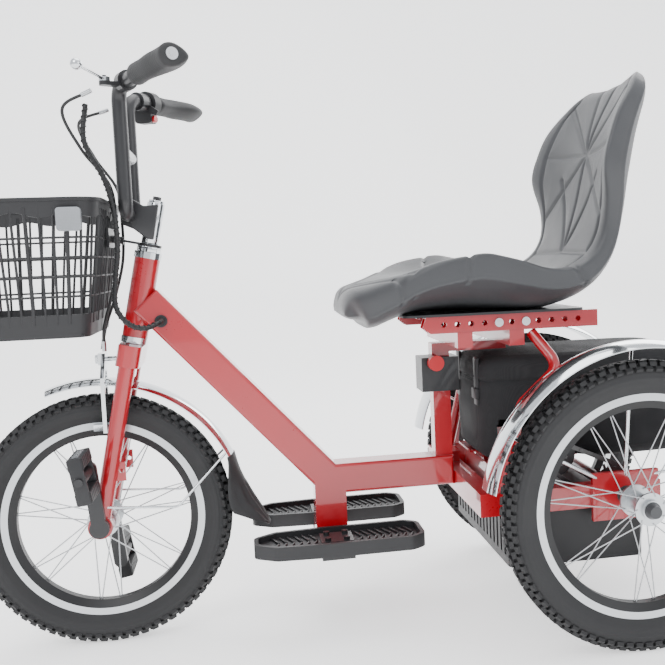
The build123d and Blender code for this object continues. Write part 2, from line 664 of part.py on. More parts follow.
pivot_pin_r, bracket_t = 3.0, 6.0
with BuildPart() as lever_brackets:
    for side in (-1, 1):
        clamp = bar_plane(side, lever_clamp_at)
        with BuildSketch(clamp):
            Circle(bar_r + 4)
        extrude(amount=9, both=True)
        pivot_plane = lever_pivot(side)
        with BuildSketch(pivot_plane.offset(-bracket_t - 3)):
            with Locations((-lever_reach / 2 + 6, 0)):
                Rectangle(lever_reach - 12, 16)
            Circle(8)
        extrude(amount=bracket_t)
        with BuildSketch(pivot_plane.offset(-3)):
            Circle(pivot_pin_r)
        extrude(amount=lever_t + 3)
        with BuildSketch(clamp.offset(-20)):
            Circle(bar_r)
        extrude(amount=40, mode=Mode.SUBTRACT)
save("lever_brackets", lever_brackets)

for side, word in ((-1, "left"), (1, "right")):
    with BuildPart() as brake_lever:
        pivot_plane = lever_pivot(side)
        base = pivot_plane.offset(-3 + lever_travel_gap)
        pivot = base.origin + Vector(0, 0, lever_t / 2)
        tip = pivot + Vector(-22, side * 108, 0)
        with BuildSketch(base):
            Circle(8)
        extrude(amount=lever_t)
        rod(pivot, tip, 2.5)
        with Locations(tip):
            Sphere(8)
        with BuildSketch(pivot_plane.offset(-20)):
            Circle(pivot_pin_r + running_gap)
        extrude(amount=40, mode=Mode.SUBTRACT)
    save(f"brake_lever_{word}", brake_lever)

switch_plane = bar_plane(1, 66)
button_r, button_pocket = 6.0, 6.0
button_seat = switch_plane.from_local_coords((-9, -26, 0))
button_plane = Plane(origin=(button_seat.X, button_seat.Y, button_seat.Z), z_dir=-switch_plane.x_dir)
with BuildPart() as switch_housing:
    with BuildSketch(switch_plane):
        Circle(bar_r + 9)
        with Locations((6, -18)):
            RectangleRounded(30, 30, 5)
        Circle(bar_r, mode=Mode.SUBTRACT)
    extrude(amount=10, both=True)
    with BuildSketch(button_plane):
        Circle(button_r + rest_gap)
    extrude(amount=-button_pocket, mode=Mode.SUBTRACT)
save("switch_housing", switch_housing)

throttle_plane = bar_plane(1, 48)
with BuildPart() as throttle_lever:
    with BuildSketch(throttle_plane):
        Circle(bar_r + 4)
        with Locations((-16, -12)):
            Rectangle(26, 9, rotation=35)
        Circle(bar_r + running_gap, mode=Mode.SUBTRACT)
    extrude(amount=2.6, both=True)
save("throttle_lever", throttle_lever)

with BuildPart() as horn_button:
    with BuildSketch(button_plane.offset(-button_pocket + 3)):
        Circle(button_r)
    extrude(amount=7)
save("horn_button", horn_button)

# ---- basket -------------------------------------------------------------------------------
basket_middle = (basket_rear + basket_front) / 2
basket_len = basket_front - basket_rear
with BuildPart() as basket:
    for inset, floor, mode in ((0, 0, Mode.ADD), (basket_wall, basket_wall, Mode.SUBTRACT)):
        with BuildSketch(Plane(origin=at(basket_middle, 0, basket_bottom_z + floor))):
            RectangleRounded(basket_len - 2 * (basket_taper + inset), 2 * (basket_half_w - basket_taper - inset), 24)
        with BuildSketch(Plane(origin=at(basket_middle, 0, basket_rim_z))):
            RectangleRounded(basket_len - 2 * inset, 2 * (basket_half_w - inset), 40)
        loft(mode=mode)
    window_h, window_rows, band = 36.0, 3, 15.0
    window_rise = (basket_rim_z - basket_bottom_z - 2 * band - 14) / window_rows
    first_window = basket_bottom_z + band + window_rise / 2 + 2
    for row in range(window_rows):
        height = first_window + row * window_rise
        with BuildSketch(Plane(origin=at(basket_middle, -200, height), x_dir=(1, 0, 0), z_dir=(0, 1, 0))):
            with GridLocations(24, 1, 8, 1):
                Rectangle(17, window_rise - 8)
        extrude(amount=400, mode=Mode.SUBTRACT)
        with BuildSketch(Plane(origin=at(basket_front + 10, 0, height), x_dir=(0, 1, 0), z_dir=(1, 0, 0))):
            with GridLocations(26, 1, 8, 1):
                Rectangle(19, window_rise - 8)
        extrude(amount=400, mode=Mode.SUBTRACT)
    with BuildSketch(Plane(origin=at(basket_middle, 0, basket_bottom_z - 1))):
        with GridLocations(30, 30, 6, 7):
            Rectangle(22, 22)
    extrude(amount=basket_wall + 2, mode=Mode.SUBTRACT)
save("basket", basket)

hook_z = basket_rim_z - 30
wall_lean = basket_taper / (basket_rim_z - basket_bottom_z)
with BuildPart() as basket_bracket:
    nut_z = head_top_z + (cup_h + rest_gap + 9) * math.cos(lean)
    with BuildSketch(steer_plane(nut_z)):
        Circle(19)
        with Locations((-28, 0)):
            Rectangle(40, 26)
        Circle(steerer_r, mode=Mode.SUBTRACT)
    extrude(amount=4)
    arm_start = steer_plane(nut_z).from_local_coords((-40, 0, 2))
    wall_at = basket_rear + (basket_rim_z - 655) * wall_lean
    rod((arm_start.X, 0, arm_start.Z), at(wall_at - 1, 0, 655), 6)
    block(wall_at - 6, wall_at - 2, -34, 34, 640, 670)
    add(basket.part, mode=Mode.SUBTRACT)
save("basket_bracket", basket_bracket)

with BuildPart() as basket_reflector:
    with BuildSketch(side_plane(-basket_half_w - 7)):
        with Locations((basket_rear + 40, basket_rim_z - 32)):
            RectangleRounded(34, 34, 5)
    extrude(amount=12)
    add(basket.part, mode=Mode.SUBTRACT)
    split(bisect_by=Plane(origin=at(0, -basket_half_w + 4, 0), z_dir=(0, 1, 0)), keep=Keep.BOTTOM)
save("basket_reflector", basket_reflector)

# ---- front fender, flap and stay -----------------------------------------------------------
front_fender_r = front_tyre_r + front_fender_gap
with BuildPart() as front_fender:
    fender_shell(front_hub, front_fender_r, 58, front_fender_end, front_fender_arc)
save("front_fender", front_fender)

with BuildPart() as mud_flap:
    with BuildSketch(radial_plane(front_hub, front_fender_end + 4)):
        with Locations((front_fender_r + 3, 0)):
            Rectangle(3, 50)
    with BuildSketch(Plane(origin=(front_hub[0] + 256, 0, front_hub[2] - 2), x_dir=(1, 0, 0.1), z_dir=(0, 0, 1))):
        Rectangle(5, 66)
    loft()
save("mud_flap", mud_flap)

# ---- front wheel cranks -------------------------------------------------------------------
crank_y = fork_leg_y + fork_leg_r + 0.2 + rest_gap
def pedal_place(side):
    """The centre of one side's pedal axle, seen from the side, and that crank's angle."""
    angle = math.radians(crank_angle + (0 if side < 0 else 180))
    return (front_hub[0] + crank_len * math.cos(angle), 0, front_hub[2] + crank_len * math.sin(angle)), angle


crank_outer = crank_y + crank_t
with BuildPart() as crankset:
    y_cylinder(front_hub, spindle_r, -crank_outer, crank_outer)
    for side in (-1, 1):
        pedal_at, angle = pedal_place(side)
        low, high = sorted((side * crank_y, side * crank_outer))
        y_cylinder(front_hub, crank_w / 2 + 4, low, high)
        y_cylinder(pedal_at, crank_w / 2, low, high)
        middle = ((front_hub[0] + pedal_at[0]) / 2, low, (front_hub[2] + pedal_at[2]) / 2)
        with BuildSketch(Plane(origin=middle, x_dir=(math.cos(angle), 0, math.sin(angle)), z_dir=(0, 1, 0))):
            Rectangle(crank_len, crank_w)
        extrude(amount=crank_t)
        y_cylinder(pedal_at, pedal_pin_r, *sorted((side * crank_outer, side * (crank_outer + pedal_w + 10))))
save("crankset", crankset)

for side, word in ((-1, "left"), (1, "right")):
    with BuildPart() as pedal:
        pedal_at, angle = pedal_place(side)
        tilt = math.radians(pedal_tilt)
        with BuildSketch(Plane(origin=(pedal_at[0], side * (crank_outer + 5), pedal_at[2]),
                               x_dir=(math.cos(tilt), 0, math.sin(tilt)), z_dir=(0, side, 0))):
            RectangleRounded(pedal_l, pedal_t, 5)
        extrude(amount=pedal_w)
        y_cylinder(pedal_at, pedal_pin_r + running_gap, -300, 300, mode=Mode.SUBTRACT)
    save(f"pedal_{word}", pedal)

# ---- front brake --------------------------------------------------------------------------
brake_z = crown_z - 8
arm_t, arm_layer_gap, pad_gap = 6.0, 1.0, 2.0
pad_z = front_hub[2] + front_rim_r - brake_track / 2 - 2
leg_front = on_steerer(pad_z) + fork_leg_r / math.cos(lean) + 1.5
crown_front = on_steerer(crown_z) + 18 / math.cos(lean) - 6
bolt_tip = leg_front + 2 * arm_t + arm_layer_gap + 1
lug_drop = crown_z - crown_h - front_tyre_r - front_fender_r - fender_crown - 1
stay_angle = math.radians(front_fender_end + 2)
with BuildPart() as fork_fittings:
    rod(at(crown_front, 0, brake_z), at(bolt_tip, 0, brake_z), 4)
    with BuildSketch(Plane(origin=at(bolt_tip, 0, brake_z), z_dir=(-1, 0, 0))):
        RegularPolygon(7, 6)
    extrude(amount=4)
    with BuildSketch(steer_plane(crown_z - crown_h)):
        Rectangle(20, 26)
    extrude(amount=-lug_drop)
    for side in (-1, 1):
        stay_r = front_fender_r + 1
        tip = (front_hub[0] + stay_r * math.cos(stay_angle), side * 27,
               front_hub[2] + stay_r * math.sin(stay_angle))
        middle = (front_hub[0] + 120, side * (fork_leg_y + 10), front_hub[2] + 22)
        foot = (front_hub[0] + 12, side * (fork_leg_y + 10), front_hub[2] + 30)
        swept([tip, middle, foot], 2, [14])
    add(fork.part, mode=Mode.SUBTRACT)
save("fork_fittings", fork_fittings)

for side, word, layer in ((-1, "left", 0), (1, "right", 1)):
    arm_rear = leg_front + layer * (arm_t + arm_layer_gap)
    arm_front = arm_rear + arm_t
    drop = pad_z - 5 - brake_z
    with BuildPart() as brake_arm:
        with BuildSketch(Plane(origin=at(arm_front, 0, brake_z), x_dir=(0, 1, 0), z_dir=(1, 0, 0))):
            with BuildLine():
                Polyline((-9 * side, -9), (-9 * side, 10), (side * 18, 10), (side * 48, -26),
                         (side * 48, drop), (side * 37, drop), (side * 37, -26), (side * 14, -9), close=True)
            make_face()
        extrude(amount=arm_t)
        inner = side * (rim_w / 2 + pad_gap)
        block(arm_rear - 18, arm_rear + 24, *sorted((inner, inner + side * 9)), pad_z - 5, pad_z + 5)
        block(arm_rear, arm_front, *sorted((inner, side * 40)), pad_z - 4, pad_z + 4)
        with BuildSketch(Plane(origin=at(arm_front + 9, 0, brake_z), z_dir=(1, 0, 0))):
            Circle(4 + running_gap)
        extrude(amount=arm_t + 18, mode=Mode.SUBTRACT)
    save(f"brake_arm_{word}", brake_arm)

# ---- cables -------------------------------------------------------------------------------
harness_r = 5.0
harness_points = [
    at(796, -62, 856), at(800, -70, 800), at(774, -72, 742), at(763, -74, 692), at(762, -66, 640),
    at(768, -64, 592), at(770, -66, 548), at(752, -66, 520), at(728, -58, 512),
    at(grommet_ahead, -half_tube - 15, grommet_z), at(grommet_ahead, -half_tube - 1, grommet_z),
]
cable_r = 2.4
cable_points = {
    "left": [at(782, -92, 872), at(826, -84, 846), at(806, -68, 790), at(770, -50, 736), at(765, -38, 682),
             at(762, -28, 622), at(780, -24, 566), at(796, -20, 512), at(798, -16, 476)],
    "right": [at(782, 92, 872), at(828, 76, 848), at(804, 54, 790), at(770, 42, 736), at(765, 38, 682),
              at(766, 30, 622), at(780, 28, 566), at(799, 24, 512), at(806, 22, 476)],
}
harness_radii = bend_radii(harness_points)
print("main_harness bend radii", [round(r, 1) for r in harness_radii])
with BuildPart() as main_harness:
    swept(harness_points, harness_r, harness_radii)
save("main_harness", main_harness)

with BuildPart() as brake_cables:
    for word, points in cable_points.items():
        radii = bend_radii(points)
        print(word, "brake cable bend radii", [round(r, 1) for r in radii])
        swept(points, cable_r, radii)
save("brake_cables", brake_cables)
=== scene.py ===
"""Looks of an adult electric tricycle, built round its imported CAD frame.

Front is -X, the rider's left is -Y and +Z is up. Lengths are in metres; at() takes millimetres,
with ahead measured forwards from the rear axle. Each operator makes one piece or one group of like pieces.
"""

import json
import math

import bmesh
import bpy
import numpy as np
from mathutils import Matrix, Vector

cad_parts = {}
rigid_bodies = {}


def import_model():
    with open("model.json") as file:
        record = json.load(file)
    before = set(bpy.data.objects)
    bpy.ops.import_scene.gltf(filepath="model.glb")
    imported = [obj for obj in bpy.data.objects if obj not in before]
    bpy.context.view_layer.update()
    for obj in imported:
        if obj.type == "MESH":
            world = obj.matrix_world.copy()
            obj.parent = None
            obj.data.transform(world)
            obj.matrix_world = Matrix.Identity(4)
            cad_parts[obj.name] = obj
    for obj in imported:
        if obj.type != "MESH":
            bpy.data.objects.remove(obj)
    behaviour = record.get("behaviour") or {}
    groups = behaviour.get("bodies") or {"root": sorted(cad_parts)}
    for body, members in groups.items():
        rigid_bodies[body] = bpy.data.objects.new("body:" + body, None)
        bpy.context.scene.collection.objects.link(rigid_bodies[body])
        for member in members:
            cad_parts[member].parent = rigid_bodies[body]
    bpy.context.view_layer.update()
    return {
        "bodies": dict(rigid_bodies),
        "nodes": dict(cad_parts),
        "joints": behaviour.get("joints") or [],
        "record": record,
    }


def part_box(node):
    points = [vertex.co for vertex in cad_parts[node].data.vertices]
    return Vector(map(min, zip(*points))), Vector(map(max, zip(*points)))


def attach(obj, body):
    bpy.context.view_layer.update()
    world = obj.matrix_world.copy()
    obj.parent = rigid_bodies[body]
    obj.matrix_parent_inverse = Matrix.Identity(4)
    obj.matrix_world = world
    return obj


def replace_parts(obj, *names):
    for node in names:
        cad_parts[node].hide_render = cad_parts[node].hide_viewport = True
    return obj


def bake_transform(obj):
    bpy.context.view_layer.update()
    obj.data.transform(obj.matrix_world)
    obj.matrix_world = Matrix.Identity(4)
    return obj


bl_info = {
    "name": "Adult Tricycle Looks",
    "version": (1, 0, 0),
    "blender": (4, 5, 0),
    "location": "View3D > Sidebar > Tricycle",
    "description": "Builds the visible pieces of an adult electric tricycle",
    "category": "Object",
}

MM = 0.001
REAR_X = 401.998
FRONT_HUB = (-413.002, 0.0, 203.0)
SQUARE = ((1, 0, 0), (0, 1, 0), (0, 0, 1))
REAR_HUBS = {"left": (REAR_X, -270.0, 221.0), "right": (REAR_X, 270.0, 221.0)}
FRONT_TYRE_R, FRONT_RIM_R, FRONT_TYRE_W = 203.0, 158.5, 50.0
REAR_TYRE_R, REAR_RIM_R, REAR_TYRE_W = 221.0, 172.0, 48.0
RIM_BAND = 11.6
CAP_Y = 0.3052
PEDAL_TILT = 100
STEM_LEAN = 12.2
WHEELBASE = 815
CAMERA_AT, CAMERA_TURN = (-0.17794, -1.56124, 0.6089), (-0.189, -0.0825, 0.0376)
CAMERA_LENS, CAMERA_SENSOR, CAMERA_SHIFT = 50.27, 36.0, -0.1316
state = {}


def at(ahead, y, z):
    """Point in the row frame, in metres, from a distance ahead of the rear axle, a side and a height in mm."""
    return Vector(((REAR_X - ahead) * MM, y * MM, z * MM))


def linear(code):
    """Linear colour of an sRGB hex code."""
    values = [int(code[i:i + 2], 16) / 255 for i in (1, 3, 5)]
    return tuple(v / 12.92 if v <= 0.04045 else ((v + 0.055) / 1.055) ** 2.4 for v in values)


def colour_of(label, code, about):
    return bpy.props.FloatVectorProperty(name=label, description=about, subtype="COLOR", size=3, min=0, max=1,
                                         default=linear(code))


def size_of(label, millimetres, about):
    return bpy.props.FloatProperty(name=label, description=about, default=millimetres * MM, min=0,
                                   unit="LENGTH", subtype="DISTANCE", precision=5)


class TricycleColours(bpy.types.PropertyGroup):
    """Base colours of the finishes."""

    red: colour_of("Frame red", "#a80315", "Gloss enamel of frame, fork and rails")
    knob: colour_of("Knob red", "#c01822", "Clamp knob and horn button")
    black_paint: colour_of("Black enamel", "#1b1b1d", "Powder-coated brackets")
    chrome: colour_of("Chrome", "#d9dcde", "Fenders, stem and bars")
    alloy: colour_of("Alloy", "#c6c9cb", "Rims, hubs and cranks")
    steel: colour_of("Steel", "#b4b6b8", "Spokes and fasteners")
    drive: colour_of("Drive steel", "#5a5a5a", "Chain and sprockets")
    rubber: colour_of("Tyre rubber", "#232324", "Tyres")
    rim_black: colour_of("Rim black", "#1c1c1d", "Inner band of the rims")
    leather: colour_of("Seat leather", "#3a3b3d", "Seat cover")
    plastic: colour_of("Black plastic", "#1d1d1f", "Basket, housings, battery case")
    grip: colour_of("Grip rubber", "#222223", "Handlebar grips")
    fabric: colour_of("Bag fabric", "#19191b", "Storage bag")
    # The crossbar's light grey is a painted highlight.
    painted_highlight_grey: colour_of("Bar with painted highlight", "#b9bbbd", "Accessory bar")
    reflector: colour_of("Reflector", "#8f9295", "Reflector face")
    sheath: colour_of("Cable sheath", "#151516", "Cables")
    cap: colour_of("Hub cap", "#3b3c3e", "Domed caps on the rear axle")
    floor: colour_of("Floor", "#f1f1f0", "Studio floor")


class TricycleSizes(bpy.types.PropertyGroup):
    """Sizes of the visible pieces."""

    knob_height: size_of("Tread height", 4.0, "Height of the tread blocks")
    knob_long: size_of("Tread length", 10.5, "Length of a tread block round the tyre")
    knob_pitch: size_of("Tread pitch", 16.5, "Spacing of tread blocks round the tyre")
    seam_depth: size_of("Seam depth", 3.2, "Depth of the seat's sewn seams")
    seam_width: size_of("Seam width", 4.0, "Half width of the seat's sewn seams")
    puff: size_of("Panel puff", 2.6, "How far the padding rises between seams")
    harness: size_of("Harness radius", 5.0, "Radius of the wiring loom")
    cable: size_of("Cable radius", 2.4, "Radius of a brake cable")
    wrap_pitch: size_of("Wrap pitch", 9.0, "Pitch of the loom's spiral wrap")
    flap_rib: size_of("Flap rib pitch", 8.0, "Spacing of the ribs on the mud flap")
    sole_rib: size_of("Sole rib pitch", 12.0, "Spacing of the ribs on the foot rests")
    chain_pitch: size_of("Chain pitch", 12.7, "Distance between chain pins")
    grain: size_of("Leather grain", 1.2, "Size of the leather's grain")
    weave: size_of("Weave", 1.1, "Spacing of the bag fabric's threads")


# ---- helpers ------------------------------------------------------------------------------


def node(tree, kind, inputs=None, **props):
    """Add a node, set its properties, then set or link its inputs."""
    made = tree.nodes.new(kind)
    for key, value in props.items():
        setattr(made, key, value)
    for key, value in (inputs or {}).items():
        if isinstance(value, bpy.types.NodeSocket):
            tree.links.new(value, made.inputs[key])
        else:
            made.inputs[key].default_value = value
    return made


def maths(tree, operation, *values):
    """Output of a math node with its inputs in order."""
    return node(tree, "ShaderNodeMath", dict(enumerate(values)), operation=operation).outputs[0]


def vectors(tree, operation, *values):
    """Output of a vector math node with its vector inputs in order."""
    return node(tree, "ShaderNodeVectorMath", dict(enumerate(values)), operation=operation).outputs[0]


def scaled(tree, vector, scale):
    """Vector scaled by a number or socket."""
    return node(tree, "ShaderNodeVectorMath", {0: vector, 3: scale}, operation="SCALE").outputs[0]


def look(name):
    return state["finishes"][name]


def finish(name, colour, metallic=0.0, roughness=0.5, grain_mm=2.0, bump_mm=0.05, spread=0.12, coat=0.0,
           pattern="noise", wear_mm=70.0):
    """Procedural finish on object coordinates: fine grain for the bump, broad cloud for colour and roughness."""
    made = bpy.data.materials.new(name)
    made.use_nodes = True
    tree = made.node_tree
    shader = tree.nodes["Principled BSDF"]
    coords = node(tree, "ShaderNodeTexCoord").outputs["Object"]
    broad = node(tree, "ShaderNodeTexNoise", {"Vector": coords, "Scale": 1 / (wear_mm * MM), "Detail": 5.0,
                                              "Roughness": 0.6}).outputs[0]
    scale = 1 / (grain_mm * MM)
    if pattern == "weave":
        waves = vectors(tree, "SINE", scaled(tree, coords, scale * math.pi))
        squares = vectors(tree, "MULTIPLY", waves, waves)
        fine = node(tree, "ShaderNodeVectorMath", {0: squares, 1: (0.5, 0.5, 0.5)},
                    operation="DOT_PRODUCT").outputs["Value"]
    elif pattern == "cells":
        cells = node(tree, "ShaderNodeTexVoronoi", {"Vector": coords, "Scale": scale, "Randomness": 1.0},
                     feature="DISTANCE_TO_EDGE").outputs["Distance"]
        fine = node(tree, "ShaderNodeMapRange", {"Value": cells, "From Max": 0.22}, clamp=True).outputs[0]
    elif pattern == "prism":
        fine = node(tree, "ShaderNodeTexVoronoi", {"Vector": coords, "Scale": scale, "Randomness": 0.0},
                    feature="F1").outputs["Distance"]
    elif pattern == "brushed":
        stretched = vectors(tree, "MULTIPLY", coords, (1.0, 14.0, 1.0))
        fine = node(tree, "ShaderNodeTexNoise", {"Vector": stretched, "Scale": scale / 8, "Detail": 3.0}).outputs[0]
    else:
        fine = node(tree, "ShaderNodeTexNoise", {"Vector": coords, "Scale": scale, "Detail": 3.0}).outputs[0]
    mixed = maths(tree, "MULTIPLY_ADD", fine, 0.35, maths(tree, "MULTIPLY", broad, 0.65))
    ramp = node(tree, "ShaderNodeValToRGB", {0: mixed})
    ramp.color_ramp.elements[0].position, ramp.color_ramp.elements[1].position = 0.28, 0.72
    dark, light = (tuple(min(1.0, c * k) for c in colour) + (1.0,) for k in (1 - spread, 1 + spread))
    ramp.color_ramp.elements[0].color, ramp.color_ramp.elements[1].color = dark, light
    tree.links.new(ramp.outputs[0], shader.inputs["Base Color"])
    rough = node(tree, "ShaderNodeMapRange", {"Value": mixed, "From Min": 0.3, "From Max": 0.7,
                                              "To Min": roughness * 0.85, "To Max": min(1.0, roughness * 1.15)})
    tree.links.new(rough.outputs[0], shader.inputs["Roughness"])
    bump = node(tree, "ShaderNodeBump", {"Strength": 1.0, "Distance": bump_mm * MM, "Height": fine})
    tree.links.new(bump.outputs[0], shader.inputs["Normal"])
    shader.inputs["Metallic"].default_value = metallic
    shader.inputs["Coat Weight"].default_value = coat
    shader.inputs["Coat Roughness"].default_value = 0.04
    made.diffuse_color = tuple(colour) + (1.0,)
    return made


def link(name, mesh):
    made = bpy.data.objects.new(name, mesh)
    bpy.context.scene.collection.objects.link(made)
    return made


def piece(name, points, faces, materials, sharp=40.0):
    """Mesh object with its place in its vertices, faces turned outwards."""
    mesh = bpy.data.meshes.new(name)
    mesh.from_pydata([tuple(p) for p in points], [], [tuple(f) for f in faces])
    tidy_mesh(mesh, materials, sharp)
    return link(name, mesh)


def shaded(mesh, sharp):
    """Smooth faces, with edges over an angle in degrees kept sharp."""
    mesh.polygons.foreach_set("use_smooth", [True] * len(mesh.polygons))
    mesh.set_sharp_from_angle(angle=math.radians(sharp))


def tidy_mesh(mesh, materials, sharp=40.0):
    work = bmesh.new()
    work.from_mesh(mesh)
    bmesh.ops.recalc_face_normals(work, faces=work.faces)
    work.to_mesh(mesh)
    work.free()
    shaded(mesh, sharp)
    for made in materials:
        if made.name not in mesh.materials:
            mesh.materials.append(made)
    mesh.update()


def lathe(centre, profile, steps=128):
    """Points and faces of a closed (radius, y) profile turned about a wheel's axle, in metres."""
    profile = np.asarray(profile, float)
    count = len(profile)
    turn = np.linspace(0, 2 * math.pi, steps, endpoint=False)
    points = np.stack([
        centre[0] + np.outer(np.cos(turn), profile[:, 0]),
        centre[1] + np.tile(profile[:, 1], (steps, 1)),
        centre[2] + np.outer(np.sin(turn), profile[:, 0]),
    ], -1).reshape(-1, 3) * MM
    faces = [(i * count + j, i * count + (j + 1) % count, ((i + 1) % steps) * count + (j + 1) % count,
              ((i + 1) % steps) * count + j) for i in range(steps) for j in range(count)]
    return points, faces


def box_shape(origin, axes, half):
    """Eight corners and six faces of a box with its own axes, in metres."""
    corners = [Vector(origin) + sum((Vector(a) * h * s for a, h, s in zip(axes, half, signs)), Vector())
               for signs in ((-1, -1, -1), (1, -1, -1), (1, 1, -1), (-1, 1, -1),
                             (-1, -1, 1), (1, -1, 1), (1, 1, 1), (-1, 1, 1))]
    faces = [(0, 3, 2, 1), (4, 5, 6, 7), (0, 1, 5, 4), (1, 2, 6, 5), (2, 3, 7, 6), (3, 0, 4, 7)]
    return corners, faces


def ring_faces(rings, around, ends=False):
    """Quads between rings of points in order, with a face over each end when ends is set."""
    faces = [(i * around + k, i * around + (k + 1) % around, (i + 1) * around + (k + 1) % around,
              (i + 1) * around + k) for i in range(rings - 1) for k in range(around)]
    if ends:
        faces += [tuple(range(around)), tuple((rings - 1) * around + k for k in range(around))]
    return faces


def unit_rows(rows):
    """Rows of an array, each at length one."""
    return rows / np.linalg.norm(rows, axis=1)[:, None]


def lengths_along(points):
    """Distance along a line of points, from its first."""
    return np.concatenate([[0], np.cumsum(np.linalg.norm(np.diff(points, axis=0), axis=1))])


def at_lengths(steps, length, line):
    """Points of a line at the given distances along it."""
    return np.stack([np.interp(steps, length, line[:, k]) for k in range(line.shape[1])], -1)


def gathered(shapes):
    """Several (points, faces) as one."""
    points, faces = [], []
    for some, theirs in shapes:
        start = len(points)
        points.extend(some)
        faces.extend(tuple(i + start for i in f) for f in theirs)
    return points, faces


def smooth_line(points, count):
    """Catmull-Rom line through points, as count even samples in an array."""
    knots = [np.array(p, float) for p in points]
    knots = [2 * knots[0] - knots[1]] + knots + [2 * knots[-1] - knots[-2]]
    fine = []
    for a, b, c, d in zip(knots, knots[1:], knots[2:], knots[3:]):
        for t in np.linspace(0, 1, 24, endpoint=False):
            fine.append(0.5 * (2 * b + (c - a) * t + (2 * a - 5 * b + 4 * c - d) * t ** 2
                               + (3 * b - a - 3 * c + d) * t ** 3))
    fine.append(knots[-2])
    fine = np.array(fine)
    length = lengths_along(fine)
    steps = np.linspace(0, length[-1], count)
    return at_lengths(steps, length, fine), steps


def tube(line, radius, around=14, caps=True):
    """Points and faces of a tube along an array of points; radius is a number or one per point."""
    line = np.asarray(line, float)
    radius = np.broadcast_to(np.asarray(radius, float), (len(line),))
    ways = unit_rows(np.gradient(line, axis=0))
    side = np.cross(ways[0], (0, 0, 1) if abs(ways[0][2]) < 0.9 else (0, 1, 0))
    points = []
    for here, way, r in zip(line, ways, radius):
        side = side - way * (side @ way)
        side /= np.linalg.norm(side)
        other = np.cross(way, side)
        for k in range(around):
            a = 2 * math.pi * k / around
            points.append(here + r * (math.cos(a) * side + math.sin(a) * other))
    return points, ring_faces(len(line), around, caps)


def helix(line, radius, pitch, wire, around=8):
    """Tube wound round a line."""
    line = np.asarray(line, float)
    length = lengths_along(line)
    turns = int(length[-1] / pitch)
    steps = np.linspace(0.0, length[-1], turns * 12)
    here = at_lengths(steps, length, line)
    ways = unit_rows(np.gradient(here, axis=0))
    side, wound = np.cross(ways[0], (1, 0, 0)), []
    for step, centre, way in zip(steps, here, ways):
        side = side - way * (side @ way)
        side /= np.linalg.norm(side)
        a = 2 * math.pi * step / pitch
        wound.append(centre + radius * (math.cos(a) * side + math.sin(a) * np.cross(way, side)))
    return tube(wound, wire, around)


def rounded(made, width_mm, segments=2, angle=40.0):
    """Bevel a piece's sharp edges into its mesh."""
    work = bmesh.new()
    work.from_mesh(made.data)
    edges = [e for e in work.edges if len(e.link_faces) == 2 and e.calc_face_angle(0) > math.radians(angle)]
    bmesh.ops.bevel(work, geom=edges, offset=width_mm * MM, offset_type="OFFSET", segments=segments, profile=0.5,
                    affect="EDGES", clamp_overlap=True)
    work.to_mesh(made.data)
    work.free()
    shaded(made.data, 50)
    return made


def ring_tree():
    """Geometry nodes: blocks repeated round a wheel's axle, skewed in turn."""
    tree = bpy.data.node_groups.new("Blocks round an axle", "GeometryNodeTree")
    for label, kind in (("Count", "NodeSocketInt"), ("Radius", "NodeSocketFloat"), ("Centre", "NodeSocketVector"),
                        ("Block", "NodeSocketVector"), ("Phase", "NodeSocketFloat"), ("Skew", "NodeSocketFloat"),
                        ("Tilt", "NodeSocketFloat"), ("Material", "NodeSocketMaterial")):
        tree.interface.new_socket(name=label, in_out="INPUT", socket_type=kind)
    tree.interface.new_socket(name="Geometry", in_out="OUTPUT", socket_type="NodeSocketGeometry")
    given = node(tree, "NodeGroupInput").outputs
    points = node(tree, "GeometryNodePoints", {"Count": given["Count"]}).outputs[0]
    index = node(tree, "GeometryNodeInputIndex").outputs[0]
    share = maths(tree, "DIVIDE", maths(tree, "ADD", index, given["Phase"]), given["Count"])
    angle = maths(tree, "MULTIPLY", share, 2 * math.pi)
    cosine, sine = maths(tree, "COSINE", angle), maths(tree, "SINE", angle)
    out = node(tree, "ShaderNodeCombineXYZ", {0: cosine, 2: sine}).outputs[0]
    spot = vectors(tree, "ADD", scaled(tree, out, given["Radius"]), given["Centre"])
    placed = node(tree, "GeometryNodeSetPosition", {0: points, 2: spot}).outputs[0]
    block = node(tree, "GeometryNodeMeshCube", {"Size": given["Block"]}).outputs[0]
    way = maths(tree, "MULTIPLY_ADD", maths(tree, "MODULO", index, 2.0), 2.0, -1.0)
    skew = maths(tree, "MULTIPLY", way, given["Skew"])
    own = node(tree, "ShaderNodeCombineXYZ", {0: skew, 2: given["Tilt"]}).outputs[0]
    about = node(tree, "ShaderNodeCombineXYZ", {1: maths(tree, "MULTIPLY", angle, -1.0)}).outputs[0]
    first = node(tree, "FunctionNodeEulerToRotation", {0: own}).outputs[0]
    second = node(tree, "FunctionNodeEulerToRotation", {0: about}).outputs[0]
    turned = node(tree, "FunctionNodeRotateRotation", {0: first, 1: second}, rotation_space="GLOBAL").outputs[0]
    copies = node(tree, "GeometryNodeInstanceOnPoints", {"Points": placed, "Instance": block,
                                                         "Rotation": turned}).outputs[0]
    real = node(tree, "GeometryNodeRealizeInstances", {0: copies}).outputs[0]
    painted = node(tree, "GeometryNodeSetMaterial", {0: real, "Material": given["Material"]}).outputs[0]
    node(tree, "NodeGroupOutput", {0: painted})
    return tree


def grown(name, tree, values):
    """Mesh that a geometry node tree makes from named input values."""
    blank = link(name + "_seed", bpy.data.meshes.new(name + "_seed"))
    grow = blank.modifiers.new("grow", "NODES")
    grow.node_group = tree
    names = {s.name: s.identifier for s in tree.interface.items_tree if s.in_out == "INPUT"}
    for label, value in values.items():
        grow[names[label]] = value
    blank.update_tag()
    bpy.context.view_layer.update()
    seen = blank.evaluated_get(bpy.context.evaluated_depsgraph_get())
    mesh = bpy.data.meshes.new_from_object(seen)
    bpy.data.objects.remove(blank)
    if not mesh.vertices:
        raise RuntimeError(f"{name}: the node tree made nothing")
    return mesh


